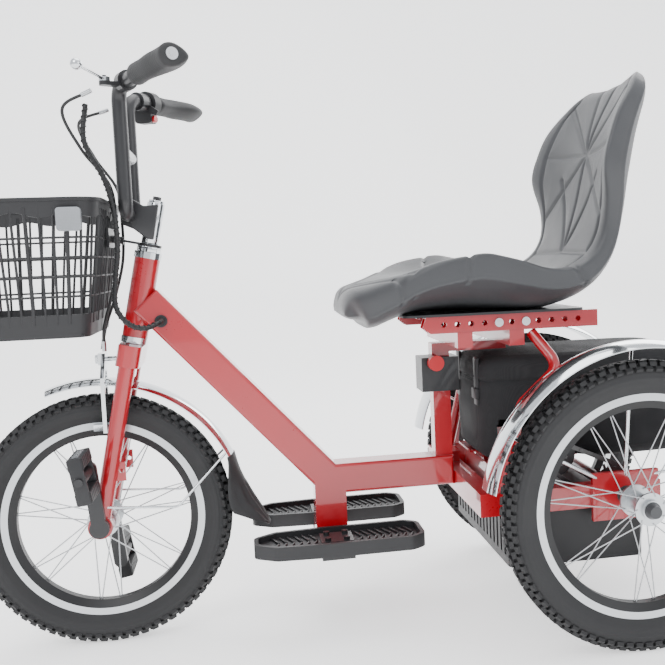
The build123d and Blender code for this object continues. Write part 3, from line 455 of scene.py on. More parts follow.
def joined(name, meshes, materials, sharp=40.0):
    """One object from several meshes."""
    work = bmesh.new()
    for mesh in meshes:
        work.from_mesh(mesh)
    mesh = bpy.data.meshes.new(name)
    work.to_mesh(mesh)
    work.free()
    tidy_mesh(mesh, materials, sharp)
    return link(name, mesh)


def paint(name, *made, by=None):
    """Materials for a CAD node; by(centre) picks a face's index."""
    target = state["frame"]["nodes"][name]
    target.data.materials.clear()
    for one in made:
        target.data.materials.append(one)
    if by is not None:
        target.data.polygons.foreach_set("material_index", [by(p.center) for p in target.data.polygons])
    shaded(target.data, 30)


# ---- pieces -------------------------------------------------------------------------------


def tyre_profile(tyre_r, rim_r, width):
    """Carcass outline: tucked beads, bulged sidewalls with a moulded ridge, nearly flat tread."""
    height = tyre_r - rim_r
    outline = [(rim_r - 2, -12.5), (rim_r + 1.5, -14.5)]
    for degrees in range(-118, 119, 4):
        a = math.radians(degrees)
        radius = rim_r + height * 0.46 + (height * 0.54 - 4.0) * math.copysign(abs(math.cos(a)) ** 0.9, math.cos(a))
        y = (width / 2 - 1.0) * math.copysign(abs(math.sin(a)) ** 0.85, math.sin(a))
        ridge = 0.9 if 86 <= abs(degrees) <= 90 else 0.0
        outline.append((max(radius, rim_r + 2.2), y + math.copysign(ridge, y)))
    outline += [(rim_r + 1.5, 14.5), (rim_r - 2, 12.5)]
    return outline


class TRICYCLE_OT_tyres(bpy.types.Operator):
    """Carcass of each tyre with its tread blocks"""

    bl_idname = "tricycle.tyres"
    bl_label = "Tyres"

    def execute(self, context):
        sizes, rubber = context.scene.tricycle_sizes, look("tyre_rubber")
        tree = ring_tree()
        wheels = (("front_tyre", FRONT_HUB, FRONT_TYRE_R, FRONT_RIM_R, FRONT_TYRE_W, "front_wheel"),
                  ("rear_tyre_left", REAR_HUBS["left"], REAR_TYRE_R, REAR_RIM_R, REAR_TYRE_W, "left_wheel"),
                  ("rear_tyre_right", REAR_HUBS["right"], REAR_TYRE_R, REAR_RIM_R, REAR_TYRE_W, "right_wheel"))
        for name, centre, tyre_r, rim_r, width, body in wheels:
            points, faces = lathe(centre, tyre_profile(tyre_r, rim_r, width), 160)
            carcass = bpy.data.meshes.new(name + "_carcass")
            carcass.from_pydata([tuple(p) for p in points], [], faces)
            deep, long = sizes.knob_height / MM, sizes.knob_long / MM
            count = int(2 * math.pi * tyre_r / (sizes.knob_pitch / MM) / 2) * 2
            rows = ((-5.4, 0.0, 9.4, 0.30, 0.0, 0.0), (5.4, 0.5, 9.4, -0.30, 0.0, 0.0),
                    (-15.6, 0.25, 8.0, 0.0, 0.34, 2.3), (15.6, 0.75, 8.0, 0.0, -0.34, 2.3),
                    (-21.6, 0.75, 5.5, 0.0, 0.95, 7.6), (21.6, 0.25, 5.5, 0.0, -0.95, 7.6))
            meshes = [carcass]
            for y, phase, wide, skew, tilt, sink in rows:
                half_turned = abs(math.cos(tilt))
                radius = tyre_r - deep * 0.9 - sink - (1 - half_turned)
                meshes.append(grown(name, tree, {
                    "Count": count, "Radius": radius * MM,
                    "Centre": (centre[0] * MM, (centre[1] + y) * MM, centre[2] * MM),
                    "Block": ((deep * 1.7) * MM, wide * MM, long * MM), "Phase": phase, "Skew": skew, "Tilt": tilt,
                    "Material": rubber}))
            made = joined(name + "_cover", meshes, [rubber], 35)
            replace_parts(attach(made, body), name)
        return {"FINISHED"}


SEAT_LINE = [(434, 543), (404, 560), (340, 574), (270, 572), (190, 564), (115, 560), (60, 576), (22, 612),
             (-2, 676), (-18, 740), (-36, 806), (-60, 862), (-80, 898)]


def seat_shape(context):
    """Ring mesh of the bucket seat, one ring per station from nose to top, with seams sunk into it."""
    sizes = context.scene.tricycle_sizes
    line, run = smooth_line(SEAT_LINE, 320)
    total = run[-1]
    ways = unit_rows(np.gradient(line, axis=0))
    ups = np.stack([ways[:, 1], -ways[:, 0]], -1)
    marks = [0, 40, 98, 148, 226, 300, 346, 395, 427, 470, 510, 561, 581, 651, 697, 719, total]
    half = np.interp(run, marks, [92, 132, 168, 184, 190, 188, 182, 172, 164, 162, 170, 188, 190, 182, 160, 138, 110])
    lift = np.interp(run, marks, [0, 0, 14, 40, 62, 48, 32, 18, 10, 8, 20, 46, 50, 42, 28, 20, 14])
    thick = np.interp(run, marks, [56, 74, 66, 58, 52, 50, 50, 52, 48, 44, 44, 46, 46, 42, 38, 34, 30])
    half, lift, thick = (np.convolve(np.pad(v, 8, mode="edge"), np.ones(17) / 17, "valid")
                         for v in (half, lift, thick))
    nose, top = 40.0, 26.0
    taper = np.sqrt(np.clip(1 - np.clip((nose - run) / nose, 0, 1) ** 2, 0, 1))
    crown = np.sqrt(np.clip(1 - np.clip((top - (total - run)) / top, 0, 1) ** 2, 0, 1))
    shut = np.minimum(taper, crown)
    half = half * (0.84 + 0.16 * shut)
    full = thick.copy()
    thick = thick * np.maximum(shut, 0.03)
    around = 340
    turn = np.linspace(0, 2 * math.pi, 40001)
    across = np.sign(np.cos(turn)) * np.abs(np.cos(turn)) ** 0.55
    through = np.sign(np.sin(turn)) * np.abs(np.sin(turn)) ** 0.62
    length = np.concatenate([[0], np.cumsum(np.hypot(np.diff(across) * 180, np.diff(through) * 25))])
    even = np.linspace(0, length[-1], around, endpoint=False)
    across, through = np.interp(even, length, across), np.interp(even, length, through)
    share = np.abs(across)
    raised = share ** 2.6
    y = np.outer(half, across)
    rise = np.outer(lift, raised) * np.where(through > 0, 1.0, 0.72)[None, :]
    deep = np.outer(thick / 2, through) - (full / 2)[:, None] + rise
    bend = int(np.argmin(np.abs(line[:, 0] - 62)))
    seams = seat_seams(lambda ahead: float(np.interp(-ahead, -line[:bend + 40, 0], run[:bend + 40])),
                       lambda z: float(np.interp(z, line[bend:, 1], run[bend:])), total)
    s = np.repeat(run[:, None], around, 1)
    nearest = np.full_like(y, 1e9)
    keep = (through[None, :] > -0.55) * np.ones_like(y, bool)
    for path in seams:
        for (s0, y0), (s1, y1) in zip(path, path[1:]):
            ds, dy = s1 - s0, y1 - y0
            t = np.clip(((s - s0) * ds + (y - y0) * dy) / (ds * ds + dy * dy), 0, 1)
            far = np.hypot(s - s0 - t * ds, y - y0 - t * dy)
            nearest = np.where(keep, np.minimum(nearest, far), nearest)
    sunk = sizes.seam_depth / MM * np.exp(-(nearest / (sizes.seam_width / MM)) ** 2)
    puffed = sizes.puff / MM * np.clip(1 - np.exp(-nearest / 22), 0, 1) * np.outer(shut, np.clip(through, 0, 1))
    piping = 2.6 * np.exp(-((through + 0.42) / 0.10) ** 2)[None, :] * shut[:, None]
    scale_y = 1 + (piping - sunk * (share > 0.85)[None, :]) / np.maximum(np.abs(y), 40)
    deep = deep + puffed - sunk * (through > -0.2)[None, :]
    y = y * scale_y
    ahead = line[:, 0][:, None] + ups[:, 0][:, None] * deep
    z = line[:, 1][:, None] + ups[:, 1][:, None] * deep
    floor = 516.5
    z = np.where((s > 98) & (s < 420) & (z < floor), floor, z)
    points = np.stack([(REAR_X - ahead) * MM, y * MM, z * MM], -1).reshape(-1, 3)
    return points, ring_faces(len(run), around, True)


def seat_seams(pan, back, total):
    """Sewn lines as (distance along from the nose, y) in mm; pan() takes a distance ahead, back() a height."""
    lines = []
    for side in (-1, 1):
        lines += [
            [(pan(422), 0), (pan(345), 150 * side), (pan(330), 200 * side)],
            [(pan(398), 0), (pan(318), 168 * side)],
            [(pan(236), 200 * side), (pan(246), 112 * side), (pan(222), 0)],
            [(pan(246), 112 * side), (pan(150), 128 * side), (pan(96), 132 * side)],
            [(back(774), 0), (back(868), 122 * side)],
            [(back(774), 0), (total - 8, 34 * side)],
            [(back(774), 0), (back(780), 152 * side)],
            [(back(774), 0), (back(664), 138 * side)],
            [(back(607), 0), (back(736), 84 * side)],
            [(back(607), 0), (back(603), 132 * side)],
            [(total - 20, 112 * side), (back(850), 138 * side), (back(780), 152 * side), (back(735), 152 * side),
             (back(664), 138 * side), (back(603), 132 * side), (pan(96), 132 * side)],
            [(pan(60), 132 * side), (pan(54), 220 * side)],
        ]
    lines.append([(back(607), 0), (back(774), 0)])
    return lines


class TRICYCLE_OT_seat(bpy.types.Operator):
    """Padded bucket seat with raised sides and sewn panels"""

    bl_idname = "tricycle.seat"
    bl_label = "Seat"

    def execute(self, context):
        points, faces = seat_shape(context)
        made = piece("seat_cover", points, faces, [look("seat_leather")], 60)
        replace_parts(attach(made, "frame"), "seat_cushion")
        return {"FINISHED"}


class TRICYCLE_OT_bag(bpy.types.Operator):
    """Soft storage bag with a lid, binding and straps"""

    bl_idname = "tricycle.bag"
    bl_label = "Storage bag"

    def execute(self, context):
        fabric, buckle = look("bag_fabric"), look("black_plastic")
        rear, front, half, low, high = -190.0, 205.0, 118.0, 262.0, 440.0
        rings, around = 44, 160
        middle, reach = (rear + front) / 2, (front - rear) / 2
        points = []
        rng = np.random.default_rng(7)
        waves = [(rng.integers(1, 5), rng.uniform(2, 7), rng.uniform(0, 6.28), rng.uniform(0.6, 1.4))
                 for _ in range(9)]
        for i in range(rings):
            v = i / (rings - 1)
            z = low + (high - low) * v
            edge = min(v, 1 - v) * (rings - 1) / 5
            shut = math.sqrt(max(0.0, 1 - max(0.0, 1 - edge) ** 2)) * 0.16 + 0.84
            for k in range(around):
                a = 2 * math.pi * k / around
                c, s = math.cos(a), math.sin(a)
                x = math.copysign(abs(c) ** 0.34, c) * reach
                y = math.copysign(abs(s) ** 0.34, s) * half
                fold = sum(m * math.sin(n * a + f * v * 2.2 + p) for n, f, p, m in waves) * 0.55
                belly = 3.0 * math.sin(math.pi * v) - 5.5 + fold * 0.6
                band = -3.0 * math.exp(-((v - 0.76) * (high - low) / 2.4) ** 2) + (1.5 if v > 0.77 else 0.0)
                swell = belly + band
                points.append(at(middle + x * shut * (1 + swell / reach), y * shut * (1 + swell / half), z))
        pocket = (26.0, 176.0, -44.0, 334.0)
        for p in points:
            ahead, y, z = REAR_X - p.x / MM, p.y / MM, p.z / MM
            if pocket[0] < ahead < pocket[1] and y < -40 and z < pocket[3]:
                p.y = -44 * MM
        made = piece("storage_bag_soft", points, ring_faces(rings, around, True), [fabric], 60)
        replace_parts(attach(made, "frame"), "storage_bag")
        shapes = []
        for y in (-62, 62):
            shapes.append(box_shape(at(front - 5, y, 396), SQUARE,
                                    (2.5 * MM, 11 * MM, 40 * MM)))
            shapes.append(box_shape(at(front - 3, y, 376), SQUARE,
                                    (4 * MM, 14 * MM, 9 * MM)))
        straps = rounded(piece("bag_straps", *gathered(shapes), [buckle]), 1.2)
        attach(straps, "frame")
        return {"FINISHED"}


class TRICYCLE_OT_grips(bpy.types.Operator):
    """Palm-rest grips with end sockets"""

    bl_idname = "tricycle.grips"
    bl_label = "Grips"

    def execute(self, context):
        rubber, steel = look("grip_rubber"), look("spoke_steel")
        shapes, ends = [], []
        for side in (-1, 1):
            start, end = np.array(at(747, side * 60, 884)), np.array(at(655, side * 255, 890))
            run = (end - start) / np.linalg.norm(end - start)
            forward = np.array([-abs(run[1]), side * run[0], 0.0])
            forward /= np.linalg.norm(forward)
            up = np.cross(run, forward)
            up *= np.sign(up[2])
            full = np.linalg.norm(end - start) / MM
            along = np.linspace(82, full + 4, 60)
            points, around = [], 48
            for d in along:
                u = (d - 82) / (full + 4 - 82)
                barrel = 15.6 + 0.9 * math.cos(u * math.pi * 2) ** 2
                wing = 14.0 * math.exp(-((u - 0.74) / 0.26) ** 2) + 3.0
                ends_in = min(1.0, 0.78 + 0.22 * math.sqrt(min(1.0, min(u, 1 - u) * 22)))
                rib = 0.35 * math.sin(d * 1.6) if 0.12 < u < 0.86 else 0.0
                for k in range(around):
                    a = 2 * math.pi * k / around
                    c, s = math.cos(a), math.sin(a)
                    back = max(0.0, -c) ** 1.8
                    r = (barrel + wing * back + rib * (1 - back)) * ends_in
                    height = r * s * (1 - 0.45 * back)
                    points.append(start + run * d * MM + forward * r * c * MM + up * height * MM)
            shapes.append((points, ring_faces(len(along), around, True)))
            out = start + run * (full + 4) * MM
            ends.append(tube([out - run * 0.002, out + run * 0.0012, out + run * 0.0012 * 1.01],
                             [0.0085, 0.0085, 0.0075], 24))
            ends.append(tube([out + run * 0.0008, out + run * 0.0016], [0.0042, 0.0042], 6))
        made = piece("palm_grips", *gathered(shapes), [rubber], 55)
        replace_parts(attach(made, "steering"), "grips")
        caps = piece("grip_end_plugs", *gathered(ends), [steel], 30)
        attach(caps, "steering")
        return {"FINISHED"}


HARNESS = [(796, -62, 856), (800, -70, 800), (774, -72, 742), (763, -74, 692), (762, -66, 640), (768, -64, 592),
           (770, -66, 548), (752, -66, 520), (728, -58, 512), (707.4, -40, 520), (707.4, -26, 520)]
CABLES = {
    "left": [(782, -92, 872), (826, -84, 846), (806, -68, 790), (770, -50, 736), (765, -38, 682), (766, -28, 622),
             (780, -24, 566), (796, -20, 512), (798, -16, 476)],
    "right": [(782, 92, 872), (828, 76, 848), (804, 54, 790), (770, 42, 736), (765, 38, 682), (766, 30, 622),
              (780, 28, 566), (799, 24, 512), (806, 22, 476)],
}


class TRICYCLE_OT_cables(bpy.types.Operator):
    """Wiring loom with its spiral wrap, and both brake cables with their ferrules"""

    bl_idname = "tricycle.cables"
    bl_label = "Cables"

    def execute(self, context):
        sizes, sheath, steel = context.scene.tricycle_sizes, look("cable_sheath"), look("spoke_steel")
        line, _ = smooth_line([tuple(at(*p)) for p in HARNESS], 180)
        loom = piece("wiring_loom", *gathered([
            tube(line, sizes.harness * 0.78, 16),
            helix(line, sizes.harness * 0.80, sizes.wrap_pitch, sizes.harness * 0.24),
        ]), [sheath], 50)
        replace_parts(loom, "main_harness")
        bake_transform(loom)
        shapes, ends = [], []
        for points in CABLES.values():
            path, _ = smooth_line([tuple(at(*p)) for p in points], 140)
            shapes.append(tube(path, sizes.cable, 12))
            ends.append(tube(path[:6], sizes.cable * 1.45, 12))
            ends.append(tube(path[-6:], sizes.cable * 1.45, 12))
        runs = piece("brake_cable_runs", *gathered(shapes), [sheath], 50)
        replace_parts(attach(runs, "steering"), "brake_cables")
        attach(piece("cable_ferrules", *gathered(ends), [steel], 40), "steering")
        return {"FINISHED"}


class TRICYCLE_OT_flap(bpy.types.Operator):
    """Ribbed mud flap behind the front wheel"""

    bl_idname = "tricycle.flap"
    bl_label = "Mud flap"

    def execute(self, context):
        sizes, rubber = context.scene.tricycle_sizes, look("grip_rubber")
        count, wide = 30, 44
        path, _ = smooth_line([(210, 92), (218, 62), (231, 32), (248, 0), (264, -30)], count)
        ways = unit_rows(np.gradient(path, axis=0))
        points = []
        for layer in (0, 1):
            for i, ((x, z), (tx, tz)) in enumerate(zip(path, ways)):
                v = i / (count - 1)
                half = 0.030 + 0.004 * math.sin(math.pi * min(1.0, v * 1.1))
                if v > 0.82:
                    half *= math.sqrt(max(0.0, 1 - ((v - 0.82) / 0.19) ** 2)) * 0.7 + 0.3
                wing = 10 + 28 * math.sin(math.pi * min(1.0, v / 0.62) * 0.5) ** 2
                wing *= 1.0 if v < 0.62 else max(0.08, 1 - (v - 0.62) / 0.38)
                for k in range(wide):
                    u = k / (wide - 1) * 2 - 1
                    ribbed = 0.4 < v < 0.94 and abs(u) < 0.93
                    rib = 0.9 * math.cos(u * half / sizes.flap_rib * 2 * math.pi) if ribbed else 0
                    reach = (1.5 + rib) * (1 if layer else -1) - wing * abs(u) ** 2.6
                    points.append(((FRONT_HUB[0] + x - tz * reach) * MM, u * half,
                                   (FRONT_HUB[2] + z + tx * reach) * MM))
        faces = []
        for layer in (0, 1):
            base = layer * count * wide
            faces += [(base + i * wide + k, base + i * wide + k + 1,
                       base + (i + 1) * wide + k + 1, base + (i + 1) * wide + k)
                      for i in range(count - 1) for k in range(wide - 1)]
        edge = (list(range(wide)) + [i * wide + wide - 1 for i in range(1, count)]
                + [(count - 1) * wide + k for k in range(wide - 2, -1, -1)]
                + [i * wide for i in range(count - 2, 0, -1)])
        faces += [(a, b, b + count * wide, a + count * wide) for a, b in zip(edge, edge[1:] + edge[:1])]
        made = piece("mud_flap_ribbed", points, faces, [rubber], 60)
        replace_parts(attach(made, "steering"), "mud_flap")
        return {"FINISHED"}


class TRICYCLE_OT_feet(bpy.types.Operator):
    """Ribs on the soles of the foot rests"""

    bl_idname = "tricycle.feet"
    bl_label = "Foot rests"

    def execute(self, context):
        sizes, plastic = context.scene.tricycle_sizes, look("black_plastic")
        shapes = []
        pitch = sizes.sole_rib / MM
        for side in (-1, 1):
            for index in range(int(230 / pitch)):
                ahead = 330 + index * pitch
                if 418 < ahead < 480:
                    continue
                half = 40 if ahead < 470 else 40 - (ahead - 470) * 0.08
                for part in (-1, 1):
                    axes = (Vector((1, 0.35 * part, 0)).normalized(), Vector((-0.35 * part, 1, 0)).normalized(),
                            (0, 0, 1))
                    shapes.append(box_shape(at(ahead, side * 95 + part * half * 0.48, 159), axes,
                                            (1.8 * MM, half * 0.44 * MM, 2.0 * MM)))
        made = rounded(piece("sole_ribs", *gathered(shapes), [plastic]), 0.8)
        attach(made, "frame")
        return {"FINISHED"}


class TRICYCLE_OT_pedals(bpy.types.Operator):
    """Block pedals with treads and end plates"""

    bl_idname = "tricycle.pedals"
    bl_label = "Pedals"

    def execute(self, context):
        plastic, amber = look("black_plastic"), look("reflector")
        tilt = math.radians(PEDAL_TILT)
        along = Vector((math.cos(tilt), 0, math.sin(tilt)))
        thick = Vector((-math.sin(tilt), 0, math.cos(tilt)))
        for word in ("left", "right"):
            low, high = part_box(f"pedal_{word}")
            centre = (low + high) / 2
            out = Vector((0, 1, 0))
            shapes, lights = [], []
            for way in (-1, 1):
                shapes.append(box_shape(centre + along * way * 0.026, (along, out, thick), (0.0085, 0.039, 0.0110)))
                shapes.append(box_shape(centre + out * way * 0.0385, (along, out, thick), (0.0350, 0.0025, 0.0100)))
                for index in range(7):
                    y = (index - 3) * 0.0115
                    for face in (-1, 1):
                        shapes.append(box_shape(centre + along * way * 0.026 + out * y + thick * face * 0.0106,
                                                (along, out, thick), (0.0075, 0.0028, 0.0010)))
                lights.append(box_shape(centre + along * way * 0.0351, (along, out, thick), (0.0008, 0.026, 0.0055)))
            shapes.append(tube([np.array(centre - out * 0.040), np.array(centre + out * 0.041)], 0.0085, 24))
            made = rounded(piece(f"pedal_block_{word}", *gathered(shapes), [plastic]), 0.8)
            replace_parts(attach(made, f"{word}_pedal"), f"pedal_{word}")
            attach(piece(f"pedal_reflectors_{word}", *gathered(lights), [amber]), f"{word}_pedal")
        return {"FINISHED"}


def basket_wall(turn, v, out=0.0):
    """Point of the basket's wall at a share round it (0 to 1, anticlockwise from the rear's left) and up it."""
    rear, front, half, low, high, taper = 776.0, 1050.0, 150.0, 507.0, 712.0, 28.0
    inset = taper * (1 - v) - out + 2.0
    corner = 24 + 16 * v
    long, wide = (front - rear) / 2 - inset - corner, half - inset - corner
    arc = math.pi / 2 * corner
    total = 4 * arc + 4 * (long + wide)
    d = (turn % 1.0) * total
    middle = (rear + front) / 2
    for (cx, cy), (dx, dy), length, start in basket_runs(long, wide, corner, arc):
        if d <= length:
            if start is None:
                return at(middle + cx + dx * d, cy + dy * d, low + (high - low) * v)
            a = math.radians(start) + d / corner
            return at(middle + cx + corner * math.cos(a), cy + corner * math.sin(a), low + (high - low) * v)
        d -= length
    return at(middle - long, -wide - corner, low + (high - low) * v)


def basket_runs(long, wide, corner, arc):
    """Straight runs and corners round a rounded rectangle, in order."""
    none = (0, 0)
    return (((-long, -wide - corner), (1, 0), 2 * long, None), ((long, -wide), none, arc, -90),
            ((long + corner, -wide), (0, 1), 2 * wide, None), ((long, wide), none, arc, 0),
            ((long, wide + corner), (-1, 0), 2 * long, None), ((-long, wide), none, arc, 90),
            ((-long - corner, wide), (0, -1), 2 * wide, None), ((-long, -wide), none, arc, 180))


def basket_band(low, high, thick, steps=240, wave=0.0):
    """Closed band of the basket's wall between two shares of its height, its lower edge waved."""
    points, levels = [], 5
    for outer in (0, 1):
        for j in range(levels):
            for i in range(steps):
                t = i / steps
                base = low + wave * (0.5 + 0.5 * math.cos(t * 2 * math.pi * 14))
                points.append(basket_wall(t, base + (high - base) * j / (levels - 1), thick if outer else -thick))
    size = levels * steps
    faces = [tuple(n + outer * size for n in f) for outer in (0, 1) for f in ring_faces(levels, steps)]
    for j in (0, levels - 1):
        for i in range(steps):
            n = (i + 1) % steps
            faces.append((j * steps + i, j * steps + n, size + j * steps + n, size + j * steps + i))
    return points, faces


class TRICYCLE_OT_basket(bpy.types.Operator):
    """Moulded grid basket with a scalloped rim"""

    bl_idname = "tricycle.basket"
    bl_label = "Basket"

    def execute(self, context):
        plastic = look("black_plastic")
        shapes = [basket_band(0.86, 1.0, 1.6, wave=0.035), basket_band(0.0, 0.17, 1.4),
                  basket_band(0.975, 1.0, 3.6)]
        for index in range(54):
            t = index / 54
            wide = 2.9 if index % 3 == 0 else 2.0
            line = np.array([basket_wall(t, v) for v in np.linspace(0.1, 0.93, 12)])
            shapes.append(tube(line, wide * MM, 8))
        for v in (0.30, 0.44, 0.58, 0.72):
            line = np.array([basket_wall(i / 200, v) for i in range(201)])
            shapes.append(tube(line, 1.7 * MM, 8, caps=False))
        for index in range(9):
            y = (index - 4) * 26
            shapes.append(box_shape(at(913, y, 509), SQUARE, (105 * MM, 2.4 * MM, 1.6 * MM)))
            x = (index - 4) * 25
            shapes.append(box_shape(at(913 + x, 0, 509), SQUARE, (2.4 * MM, 118 * MM, 1.6 * MM)))
        made = piece("grid_basket", *gathered(shapes), [plastic], 45)
        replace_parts(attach(made, "steering"), "basket")
        return {"FINISHED"}


class TRICYCLE_OT_stem(bpy.types.Operator):
    """Chrome quill and lock nut, and the black plate that carries the uprights"""

    bl_idname = "tricycle.stem"
    bl_label = "Stem"

    def execute(self, context):
        chrome, black = look("chrome_plate"), look("black_enamel")
        lean = math.radians(STEM_LEAN)

        def axis(z):
            return at(WHEELBASE - (z - FRONT_TYRE_R) * math.tan(lean), 0, z)

        def drum(low, high, radius, around=40):
            return tube([np.array(axis(low)), np.array(axis(high))], [radius * MM, radius * MM], around)

        quill = piece("stem_quill", *gathered([
            drum(631, 640, 19, 8), drum(640, 644, 15.5), drum(644, 709, 13.6), drum(709, 713, 12.0)]), [chrome], 35)
        rounded(quill, 0.6)
        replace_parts(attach(quill, "steering"), "stem")
        outline = [(701, 706), (724, 704), (741, 716), (761, 716), (759, 676), (741, 668), (722, 652), (712, 650)]
        points = [at(a, y, z) for y in (-24, 24) for a, z in outline]
        n = len(outline)
        faces = [tuple(range(n)), tuple(range(n, 2 * n))] + [(i, (i + 1) % n, n + (i + 1) % n, n + i) for i in range(n)]
        plate = rounded(piece("stem_plate", points, faces, [black], 30), 2.5, 3, 25)
        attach(plate, "steering")
        bolt = piece("stem_bolt", *gathered([drum(713, 719, 6.5, 6)]), [black], 30)
        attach(bolt, "steering")
        return {"FINISHED"}


class TRICYCLE_OT_chain(bpy.types.Operator):
    """Roller chain links, and teeth on both sprockets"""

    bl_idname = "tricycle.chain"
    bl_label = "Chain"

    def execute(self, context):
        sizes, steel = context.scene.tricycle_sizes, look("drive_steel")
        pitch = sizes.chain_pitch
        tree = ring_tree()
        places = {}
        for name, centre, teeth, body in (("axle_sprocket", at(0, -150, 221), 18, "left_wheel"),
                                          ("motor_sprocket", at(100, -150, 282), 11, "drive_pinion")):
            radius = pitch / (2 * math.sin(math.pi / teeth))
            mesh = grown(name, tree, {"Count": teeth, "Radius": radius - 0.0012, "Centre": tuple(centre),
                                      "Block": (0.0085, 0.0024, 0.0042), "Phase": 0.5, "Skew": 0.0, "Tilt": 0.0,
                                      "Material": steel})
            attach(joined(name + "_teeth", [mesh], [steel]), body)
            places[name] = (np.array(centre), radius)
        (a, ra), (b, rb) = places["axle_sprocket"], places["motor_sprocket"]
        gap = b - a
        slope, reach = math.atan2(gap[2], gap[0]), math.hypot(gap[0], gap[2])
        lean = math.asin((ra - rb) / reach)
        loop = []
        for centre, r, start, end in ((a, ra, slope + math.pi / 2 - lean, slope + 1.5 * math.pi + lean),
                                      (b, rb, slope - math.pi / 2 + lean, slope + math.pi / 2 - lean)):
            for t in np.linspace(start, end, 60):
                loop.append(centre + r * np.array([math.cos(t), 0, math.sin(t)]))
        loop.append(loop[0])
        loop = np.array(loop)
        length = lengths_along(loop)
        count = int(round(length[-1] / pitch / 2)) * 2
        steps = np.linspace(0, length[-1], count, endpoint=False)
        pins = at_lengths(steps, length, loop)
        shapes = []
        for index in range(count):
            p, q = pins[index], pins[(index + 1) % count]
            way = Vector(q - p).normalized()
            out = Vector((0, 1, 0))
            up = way.cross(out)
            for side in (-1, 1):
                spread = 0.0031 if index % 2 else 0.0022
                shapes.append(box_shape(Vector((p + q) / 2) + out * side * spread, (way, out, up),
                                        (pitch * 0.62, 0.0005, 0.0036)))
            shapes.append(tube([p - (0, 0.0034, 0), p + (0, 0.0034, 0)], 0.0021, 12))
        made = piece("chain_links", *gathered(shapes), [steel])
        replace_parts(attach(made, "frame"), "chain")
        return {"FINISHED"}


class TRICYCLE_OT_frame_finishes(bpy.types.Operator):
    """Finishes of every piece carried over from the CAD frame"""

    bl_idname = "tricycle.frame_finishes"
    bl_label = "Frame finishes"

    def execute(self, context):
        made = state["finishes"]
        record = state["frame"]["record"]
        for part in record["subparts"]:
            name = part.get("node") or part.get("name")
            slot = part.get("material") or part.get("material_slot")
            if name not in state["frame"]["nodes"] or slot not in made:
                raise RuntimeError(f"no finish for {name}: {slot}")
            paint(name, made[slot])
        for name, centre, rim_r in (("front_rim", FRONT_HUB, FRONT_RIM_R),
                                    ("rear_rim_left", REAR_HUBS["left"], REAR_RIM_R),
                                    ("rear_rim_right", REAR_HUBS["right"], REAR_RIM_R)):
            def band(p, centre=centre, rim_r=rim_r):
                return 0 if math.hypot(p.x / MM - centre[0], p.z / MM - centre[2]) > rim_r - RIM_BAND else 1
            paint(name, made["rim_alloy"], made["rim_black"], by=band)
        paint("rear_axle", made["spoke_steel"], made["hub_cap"], by=lambda p: 1 if abs(p.y) > CAP_Y else 0)
        return {"FINISHED"}


class TRICYCLE_OT_stage(bpy.types.Operator):
    """Floor, studio lights and camera"""

    bl_idname = "tricycle.stage"
    bl_label = "Stage"

    def execute(self, context):
        scene = context.scene
        sweep = []
        for y, z in [(-6.0, 0.0), (2.2, 0.0), (2.6, 0.03), (2.95, 0.14), (3.25, 0.38), (3.4, 0.8), (3.4, 5.0)]:
            sweep += [(-7.0, y, z), (7.0, y, z)]
        floor = piece("studio_floor", sweep, [(2 * i, 2 * i + 1, 2 * i + 3, 2 * i + 2) for i in range(6)],
                      [look("studio_floor")], 80)
        glow = look("studio_floor").node_tree.nodes["Principled BSDF"]
        glow.inputs["Emission Color"].default_value = (1.0, 1.0, 1.0, 1.0)
        glow.inputs["Emission Strength"].default_value = 0.9
        world = bpy.data.worlds.new("studio")
        world.use_nodes = True
        world.node_tree.nodes["Background"].inputs["Color"].default_value = (0.93, 0.95, 1.0, 1.0)
        world.node_tree.nodes["Background"].inputs["Strength"].default_value = 1.25
        scene.world = world
        for label, place, aim, size, power in (
            ("key", (-1.6, -2.4, 2.8), (0, 0, 0.35), 1.8, 52), ("fill", (2.6, -2.0, 1.7), (0.1, 0, 0.4), 2.0, 22),
            ("top", (0.2, 0.3, 3.2), (0, 0, 0.4), 2.4, 60), ("rim", (1.8, 2.2, 2.0), (0, 0, 0.5), 1.4, 30),
        ):
            data = bpy.data.lights.new(label, "AREA")
            data.shape, data.size, data.energy = "SQUARE", size, power
            lamp = bpy.data.objects.new(label, data)
            lamp.location = place
            lamp.rotation_mode = "QUATERNION"
            lamp.rotation_quaternion = (Vector(aim) - Vector(place)).to_track_quat("-Z", "Y")
            scene.collection.objects.link(lamp)
        data = bpy.data.cameras.new("view")
        camera = bpy.data.objects.new("view", data)
        about_z, about_x, about_y = (Matrix.Rotation(t, 3, axis) for t, axis in zip(CAMERA_TURN, "ZXY"))
        turned = about_z @ about_x @ about_y
        axes = Matrix((turned.col[0], turned.col[2], -turned.col[1])).transposed()
        camera.matrix_world = Matrix.Translation(CAMERA_AT) @ axes.to_4x4()
        data.sensor_width = CAMERA_SENSOR
        data.lens = CAMERA_LENS
        data.shift_x = CAMERA_SHIFT
        data.clip_start, data.clip_end = 0.05, 40
        scene.collection.objects.link(camera)
        scene.camera = camera
        return {"FINISHED"}


class TRICYCLE_PT_panel(bpy.types.Panel):
    """Sidebar panel with the sizes, colours and build steps"""

    bl_label = "Adult tricycle"
    bl_idname = "TRICYCLE_PT_panel"
    bl_space_type = "VIEW_3D"
    bl_region_type = "UI"
    bl_category = "Tricycle"

    def draw(self, context):
        for group in (context.scene.tricycle_sizes, context.scene.tricycle_colours):
            box = self.layout.box()
            for key in type(group).__annotations__:
                box.prop(group, key)
        for step in STEPS:
            self.layout.operator(step.bl_idname)


